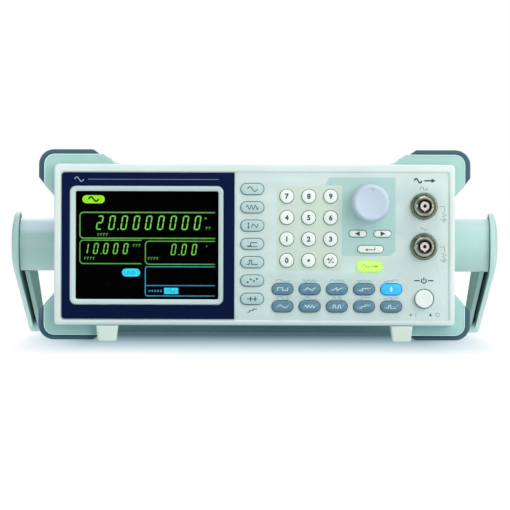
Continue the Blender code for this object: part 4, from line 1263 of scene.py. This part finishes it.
def make_arm():
    """Half of the bail: the domed plate over the hub, the arm with its channel, half of the grip."""
    sections = [(arm_outline(PLATE_RADIUS - 0.3, TIP_RADIUS - 0.3), PLATE_INSIDE),
                (arm_outline(PLATE_RADIUS), PLATE_INSIDE + 0.3)]
    for inset in (0.0, 0.15, 0.5, 1.1, 2.0, 3.2, 4.8, 6.8, 8.8):
        rise = (PLATE_TOP - PLATE_RIM) * math.sqrt(inset / DOME_WIDTH)
        sections.append((arm_outline(PLATE_RADIUS - inset, TIP_RADIUS - inset), PLATE_RIM + rise))
    half = placed("half", skinned(sections, "x"))
    block = placed("block", between(arm_outline(HUB_RADIUS), ARM_INSIDE, PLATE_INSIDE + 1.0))
    drum = circle(HUB_RADIUS + 0.3, PIVOT.real, PIVOT.imag, 64)
    cut_with(block, between(drum, ARM_INSIDE - 1.0, PLATE_INSIDE))
    cut_with(block, between(arm_pocket(), ARM_INSIDE + INNER_WALL, PLATE_INSIDE + 2.0))
    cut_with(half, block.data.copy(), "UNION")
    low, back = HANDLE.bottom, HANDLE.back
    grip = box(back - GRIP_WIDTH, back, low, low + GRIP_THICKNESS, 3.4)
    cut_with(half, between(grip, -2.0, PLATE_INSIDE + 1.0), "UNION")
    spigot = circle(6.3, PIVOT.real, PIVOT.imag, 40)
    cut_with(half, between(spigot, PLATE_INSIDE - 1.0, HUB.right + 0.3))
    bpy.data.objects.remove(block)
    return half


def shade_channel(obj):
    """The channel's faces and the arm's case side take a darker copy of the handle's colour: painted shade,
    where the hub and the case shadow them.
    """
    obj.data.materials.append(MATERIALS["handle_painted_shade"])
    inner, outer = ARM_INSIDE * MM, (PLATE_INSIDE + 0.1) * MM
    top = (GRIP_THICKNESS + HANDLE.bottom) * MM
    for face in obj.data.polygons:
        outward = abs(face.normal.x) < 0.9 and face.normal.y + face.normal.z > 0.5
        if inner - 1e-5 < abs(face.center.x) < outer and face.center.z > top and not outward:
            face.material_index = 1


def mirrored(half):
    """A mesh of the object and its mirror image, joined on the case's middle plane. It consumes
    the object."""
    shape = bmesh.new()
    shape.from_mesh(half.data)
    bpy.data.objects.remove(half)
    bmesh.ops.remove_doubles(shape, verts=shape.verts, dist=2e-6)
    everything = shape.verts[:] + shape.edges[:] + shape.faces[:]
    bmesh.ops.bisect_plane(shape, geom=everything, plane_co=(0, 0, 0), plane_no=(-1, 0, 0), clear_outer=True)
    copy = bmesh.ops.duplicate(shape, geom=shape.verts[:] + shape.edges[:] + shape.faces[:])["geom"]
    verts = [g for g in copy if isinstance(g, bmesh.types.BMVert)]
    faces = [g for g in copy if isinstance(g, bmesh.types.BMFace)]
    bmesh.ops.scale(shape, vec=(-1, 1, 1), verts=verts)
    bmesh.ops.reverse_faces(shape, faces=faces)
    bmesh.ops.remove_doubles(shape, verts=shape.verts, dist=2e-6)
    return as_mesh(shape, "bail")


def make_handle():
    """The carrying handle, mirrored from one arm, with ridges under its grip bar."""
    piece = Piece("carrying_handle")
    piece.add(mirrored(make_arm()), "handle")
    low, back = HANDLE.bottom, HANDLE.back
    ridge = box(-RIDGE_WIDTH / 2, RIDGE_WIDTH / 2, back - GRIP_WIDTH + 3.0, back - 3.0, 1.1)
    ridges = [moved(ridge, k * RIDGE_PITCH, 0.0) for k in range(-12, 13)]
    piece.add(filled(ridges, low - 0.25, low + 0.4, "z", bevel=0.2), "handle")
    obj = piece.finish("handle", "handle", "handle", smooth=28)
    shade_channel(obj)
    bevel = obj.modifiers.new("edges", "BEVEL")
    bevel.width = 0.4 * MM
    bevel.segments = 2
    bevel.limit_method = "ANGLE"
    bevel.angle_limit = math.radians(40)
    bevel.harden_normals = True


def make_hubs():
    """The drums that the handle turns on, with a stepped collar at the case."""
    for side, out in (("left", -1), ("right", 1)):
        inner, end = HUB.left * out, HUB_END * out
        waist = HUB_RADIUS - HUB_GROOVE
        profile = [
            (HUB_RADIUS, inner), (HUB_RADIUS, inner + out * 2.0), (waist, inner + out * 2.3),
            (waist, inner + out * 3.0), (HUB_RADIUS, inner + out * 3.3), (HUB_RADIUS, end - out * 0.1),
            (HUB_RADIUS - 0.1, end), (6.0, end), (6.0, end + out * (SPIGOT_LENGTH - 0.5)),
            (5.5, end + out * SPIGOT_LENGTH),
        ]
        piece = Piece(f"{side}_hub_drum")
        piece.add(turned(profile, PIVOT.real, PIVOT.imag, "x", 64), f"{side}_hub")
        piece.finish("case", "handle", f"{side}_pivot_hub", smooth=30)


# ---------------------------------------------------------------- covers and back

COVER_WALL, COVER_CORNER = 1.6, 4.0
SCREW_RADIUS, SCREW_SLOT = 2.6, 0.28  # the head, and half the width of its cross
SCREW_INSET = 7.0  # from a sheet's edges
SIDE_SCREWS = (-18.0, 96.0)  # places along the case
VENT_PITCH, VENT_LENGTH, VENT_WIDTH = 7.0, 24.0, 2.4
SIDE_VENTS, REAR_VENTS = 9, 8
FIRST_SIDE_VENT, REAR_VENT_MIDDLE, VENT_RISE = 30.0, -10.0, 14.0


def add_screw(piece, x, z, place, out, axis):
    """Adds a pan head with a cross recess, drawn as a black print: painted shade."""
    profile = [(SCREW_RADIUS * share, place + out * height)
               for share, height in ((1.0, -0.2), (1.0, 0.5), (0.85, 1.0), (0.45, 1.25), (0.077, 1.3))]
    piece.add(turned(profile, x, z, axis, 28), "steel")
    arm, slot = SCREW_RADIUS * 0.5, SCREW_SLOT
    cross = [box(x - arm, x + arm, z - slot, z + slot), box(x - slot, x + slot, z + 0.3, z + arm),
             box(x - slot, x + slot, z - arm, z - 0.3)]
    low, high = sorted((place + out * 0.9, place + out * 1.34))
    piece.add(prints(cross, low, high, axis), "hollow")


def vent(x, z):
    """The outline of an upright slot."""
    return [(x + v, z + u) for u, v in pill(VENT_LENGTH, VENT_WIDTH)]


def make_covers():
    """The folded upper and lower covers: screws in the upper one's sides, vents in the lower one's."""
    for node, name in (("top_cover", "upper_cover_shell"), ("bottom_cover", "lower_cover_shell")):
        cover, upper = span(node), node == "top_cover"
        edge, far = (cover.bottom, cover.top) if upper else (cover.top, cover.bottom)
        inside = far - COVER_WALL if upper else far + COVER_WALL
        inner = COVER_CORNER - COVER_WALL
        corners = [
            (cover.right, edge, 0.0), (cover.right, far, COVER_CORNER), (cover.left, far, COVER_CORNER),
            (cover.left, edge, 0.0), (cover.left + COVER_WALL, edge, 0.0),
            (cover.left + COVER_WALL, inside, inner), (cover.right - COVER_WALL, inside, inner),
            (cover.right - COVER_WALL, edge, 0.0),
        ]
        piece = Piece(name)
        piece.add(filled([rounded(corners, 8)], cover.front, cover.back, bevel=0.3), "cover")
        if upper:
            for x, out in ((cover.right, 1), (cover.left, -1)):
                for y in SIDE_SCREWS:
                    add_screw(piece, y, edge + SCREW_INSET, x, out, "x")
            piece.finish("case", "cover", node, smooth=30)
            continue
        obj = piece.finish("case", "cover", node, smooth=30)
        slots = bmesh.new()
        for k in range(SIDE_VENTS):
            slot = vent(FIRST_SIDE_VENT + VENT_PITCH * k, MIDDLE - VENT_RISE)
            pour(between(slot, cover.left - 4.0, cover.right + 4.0), slots)
        cut_with(obj, as_mesh(slots, "slots"))


def make_back():
    """The rear panel with vents, screws and plain printed rules, and the mains inlet."""
    panel, inlet, socket = span("rear_panel"), span("mains_inlet"), span("rear_connector")
    holes = [box(inlet.left, inlet.right, inlet.bottom, inlet.top, grow=-1.7),
             circle(SOCKET_HOLE, socket.x, socket.z)]
    for k in range(REAR_VENTS):
        x = REAR_VENT_MIDDLE + (k - (REAR_VENTS - 1) / 2) * VENT_PITCH
        holes.append(vent(x, MIDDLE + VENT_RISE))
    piece = Piece("rear_panel_plate")
    edge = box(panel.left, panel.right, panel.bottom, panel.top, COVER_CORNER)
    piece.add(filled([edge, *holes], panel.front, panel.back, bevel=0.25), "cover")
    for x in (panel.left + SCREW_INSET, panel.right - SCREW_INSET):
        for z in (panel.bottom + SCREW_INSET, panel.top - SCREW_INSET):
            add_screw(piece, x, z, panel.back, 1, "y")
    rules = [
        box(socket.left - 4.0, socket.right + 4.0, socket.bottom - 6.0, socket.bottom - 5.6),
        sign("square", 6.0, 2.4, socket.x, socket.bottom - 9.0),
        box(inlet.left, inlet.right, inlet.top + 3.0, inlet.top + 3.4),
        sign("sine", 6.0, 2.4, inlet.x, inlet.top + 6.0),
    ]
    piece.add(prints(rules, panel.back - 0.1, panel.back + 0.05), "dark_ink")
    piece.finish("case", "cover", "rear_panel")
    make_inlet(inlet)


def make_inlet(inlet):
    """A three-pin mains inlet: flange, socket well and flat pins."""
    flange = (inlet.left, inlet.right, inlet.bottom, inlet.top)
    left, right, low, high = inlet.left + 3.4, inlet.right - 3.4, inlet.bottom + 3.4, inlet.top - 3.4
    well = rounded([(right, high, 5.0), (left, high, 5.0), (left, low, 1.2), (right, low, 1.2)])
    body = box(inlet.left + 2.0, inlet.right - 2.0, inlet.bottom + 2.0, inlet.top - 2.0, 1.0)
    face = inlet.back
    piece = Piece("mains_inlet_socket")
    piece.add(filled([box(*flange, 2.0), well], face - 2.0, face, bevel=0.4), "black_plastic")
    piece.add(filled([body, well], face - 14.0, face - 1.5), "black_plastic")
    piece.add(filled([body], inlet.front, face - 13.0, bevel=0.3), "black_plastic")
    pin = box(-1.0, 1.0, -2.0, 2.0, 0.4)
    for x, z in ((-7.0, -1.6), (7.0, -1.6), (0.0, 2.4)):
        outline = moved(pin, inlet.x + x, inlet.z + z)
        piece.add(filled([outline], face - 13.5, face - 3.0, bevel=0.2), "bright_metal")
    piece.finish("case", "black_plastic", "mains_inlet")


def paint_inside():
    """Materials for the CAD nodes that stay: boards, transformer, encoder and switch."""
    for node, paint in (("key_board", "board"), ("main_board", "board"), ("power_transformer", "steel"),
                        ("rotary_encoder", "steel"), ("power_switch", "black_plastic")):
        slots = frame["nodes"][node].data.materials
        slots.clear()
        slots.append(MATERIALS[paint])


# ---------------------------------------------------------------- floor, light and camera

FLOOR_SIZE, FLOOR_DROP = 12.0, 0.0003
# how dark the paper gets in the object's soft shadow, and the places in metres between which it fades
FLOOR_SHADE = 0.86
SHADE_FRONT, SHADE_BACK, SHADE_SIDE = (-0.415, 0.035), (0.15, 0.34), (0.112, 0.162)
SHADE_TINT = (0.5, 0.95, 1.15)
SKY = (0.16, 0.85)  # the background's strength on the object, from low on the left to overhead
SKY_LEAN = (0.4, 0.0, 0.92)
LIGHTS = [  # name, place and width in metres, power in watts, colour
    ("key_light", (0.95, -1.3, 0.85), 1.2, 8.8, (1.0, 1.0, 0.98)),
    ("top_light", (-0.1, -0.4, 1.5), 0.8, 5.2, (0.94, 0.99, 1.0)),
    ("fill_light", (-1.4, -0.8, 0.9), 1.2, 2.4, (0.88, 0.96, 1.0)),
    ("low_light", (1.1, -2.0, 0.2), 0.8, 6.5, (0.97, 1.0, 0.99)),
    ("back_light", (-0.2, 1.1, 0.9), 0.9, 6.0, (0.97, 0.99, 1.0)),
]
CAMERA_DISTANCE = 2200.0  # from the bezel's front plane
FRAME_WIDTH = 338.42  # what the picture's width holds at the front plane
CAMERA_SHIFT = (0.00098, -0.02)
CAMERA_ROLL = -0.17


def make_floor():
    """A pale floor, painted with a soft shadow under and in front of the object."""
    shape = bmesh.new()
    bmesh.ops.create_grid(shape, x_segments=1, y_segments=1, size=FLOOR_SIZE)
    mesh = as_mesh(shape, "floor")
    n = Nodes("floor_paper")
    paper = n.spread(n.noise(8.0, 3.0), 0.0, 1.0)
    place = n.parts(n.place)
    across = n.maths("ABSOLUTE", place["X"])
    shade = n.spread(place["Y"], 0.0, FLOOR_SHADE, *SHADE_FRONT)
    shade = n.maths("MULTIPLY", shade, n.spread(place["Y"], 1.0, 0.0, *SHADE_BACK))
    shade = n.maths("MULTIPLY", shade, n.spread(across, 1.0, 0.0, *SHADE_SIDE))
    n.set(Base_Color=n.mix(paper, (0.055, 0.057, 0.06), (0.065, 0.068, 0.07)), Roughness=0.9,
          Specular_IOR_Level=0.0, Emission_Color=n.mix(shade, (1.0, 1.0, 1.0), SHADE_TINT),
          Emission_Strength=n.spread(shade, 1.0, 0.0, 0.0, 1.0))
    mesh.materials.append(n.material)
    floor = placed("floor", mesh)
    floor.location.z = -FLOOR_DROP


def make_sky():
    """A plain background: the camera sees white, and the object gets a soft sky."""
    world = bpy.data.worlds.new("studio")
    world.use_nodes = True
    tree = world.node_tree
    path = tree.nodes.new("ShaderNodeLightPath")
    place = tree.nodes.new("ShaderNodeTexCoord")
    height = tree.nodes.new("ShaderNodeVectorMath")
    height.operation = "DOT_PRODUCT"
    height.inputs[1].default_value = SKY_LEAN
    tree.links.new(place.outputs["Generated"], height.inputs[0])
    sky = tree.nodes.new("ShaderNodeMapRange")
    for name, value in zip(RANGE, (-0.2, 1.0, *SKY)):
        sky.inputs[name].default_value = value
    tree.links.new(height.outputs["Value"], sky.inputs["Value"])
    seen = tree.nodes.new("ShaderNodeMapRange")
    tree.links.new(sky.outputs["Result"], seen.inputs["To Min"])
    tree.links.new(path.outputs["Is Camera Ray"], seen.inputs["Value"])
    background = tree.nodes["Background"]
    background.inputs["Color"].default_value = (1.0, 1.0, 1.0, 1.0)
    tree.links.new(seen.outputs["Result"], background.inputs["Strength"])
    bpy.context.scene.world = world


def make_lights():
    """Soft round lamps, all aimed at the case's middle."""
    for name, place, size, power, colour in LIGHTS:
        light = bpy.data.lights.new(name, "AREA")
        light.shape = "DISK"
        light.size = size
        light.energy = power
        light.color = colour
        lamp = placed(name, light)
        lamp.location = place
        aim = Vector((0.0, 0.0, MIDDLE * MM)) - Vector(place)
        lamp.rotation_euler = aim.to_track_quat("-Z", "Y").to_euler()


def make_camera():
    """A long lens, straight on at the height of the case's middle."""
    data = bpy.data.cameras.new("camera")
    data.sensor_width = 36.0
    data.lens = data.sensor_width * CAMERA_DISTANCE / FRAME_WIDTH
    data.shift_x, data.shift_y = CAMERA_SHIFT
    data.clip_end = 100.0
    camera = placed("camera", data)
    camera.location = Vector((0.0, BEZEL_FRONT - CAMERA_DISTANCE, MIDDLE)) * MM
    camera.rotation_euler = (math.pi / 2, math.radians(CAMERA_ROLL), 0.0)
    bpy.context.scene.camera = camera
    bpy.context.scene.view_settings.view_transform = "Standard"


make_bezel()
make_surround()
make_display()
make_keys()
make_power_button()
make_knob()
make_socket("sync_connector", "sync_socket")
make_socket("main_connector", "main_socket")
make_socket("rear_connector", "rear_socket", back_side=True)
make_printing()
make_protector("front")
make_protector("rear")
make_feet()
make_handle()
make_hubs()
make_covers()
make_back()
paint_inside()
make_floor()
make_sky()
make_lights()
make_camera()
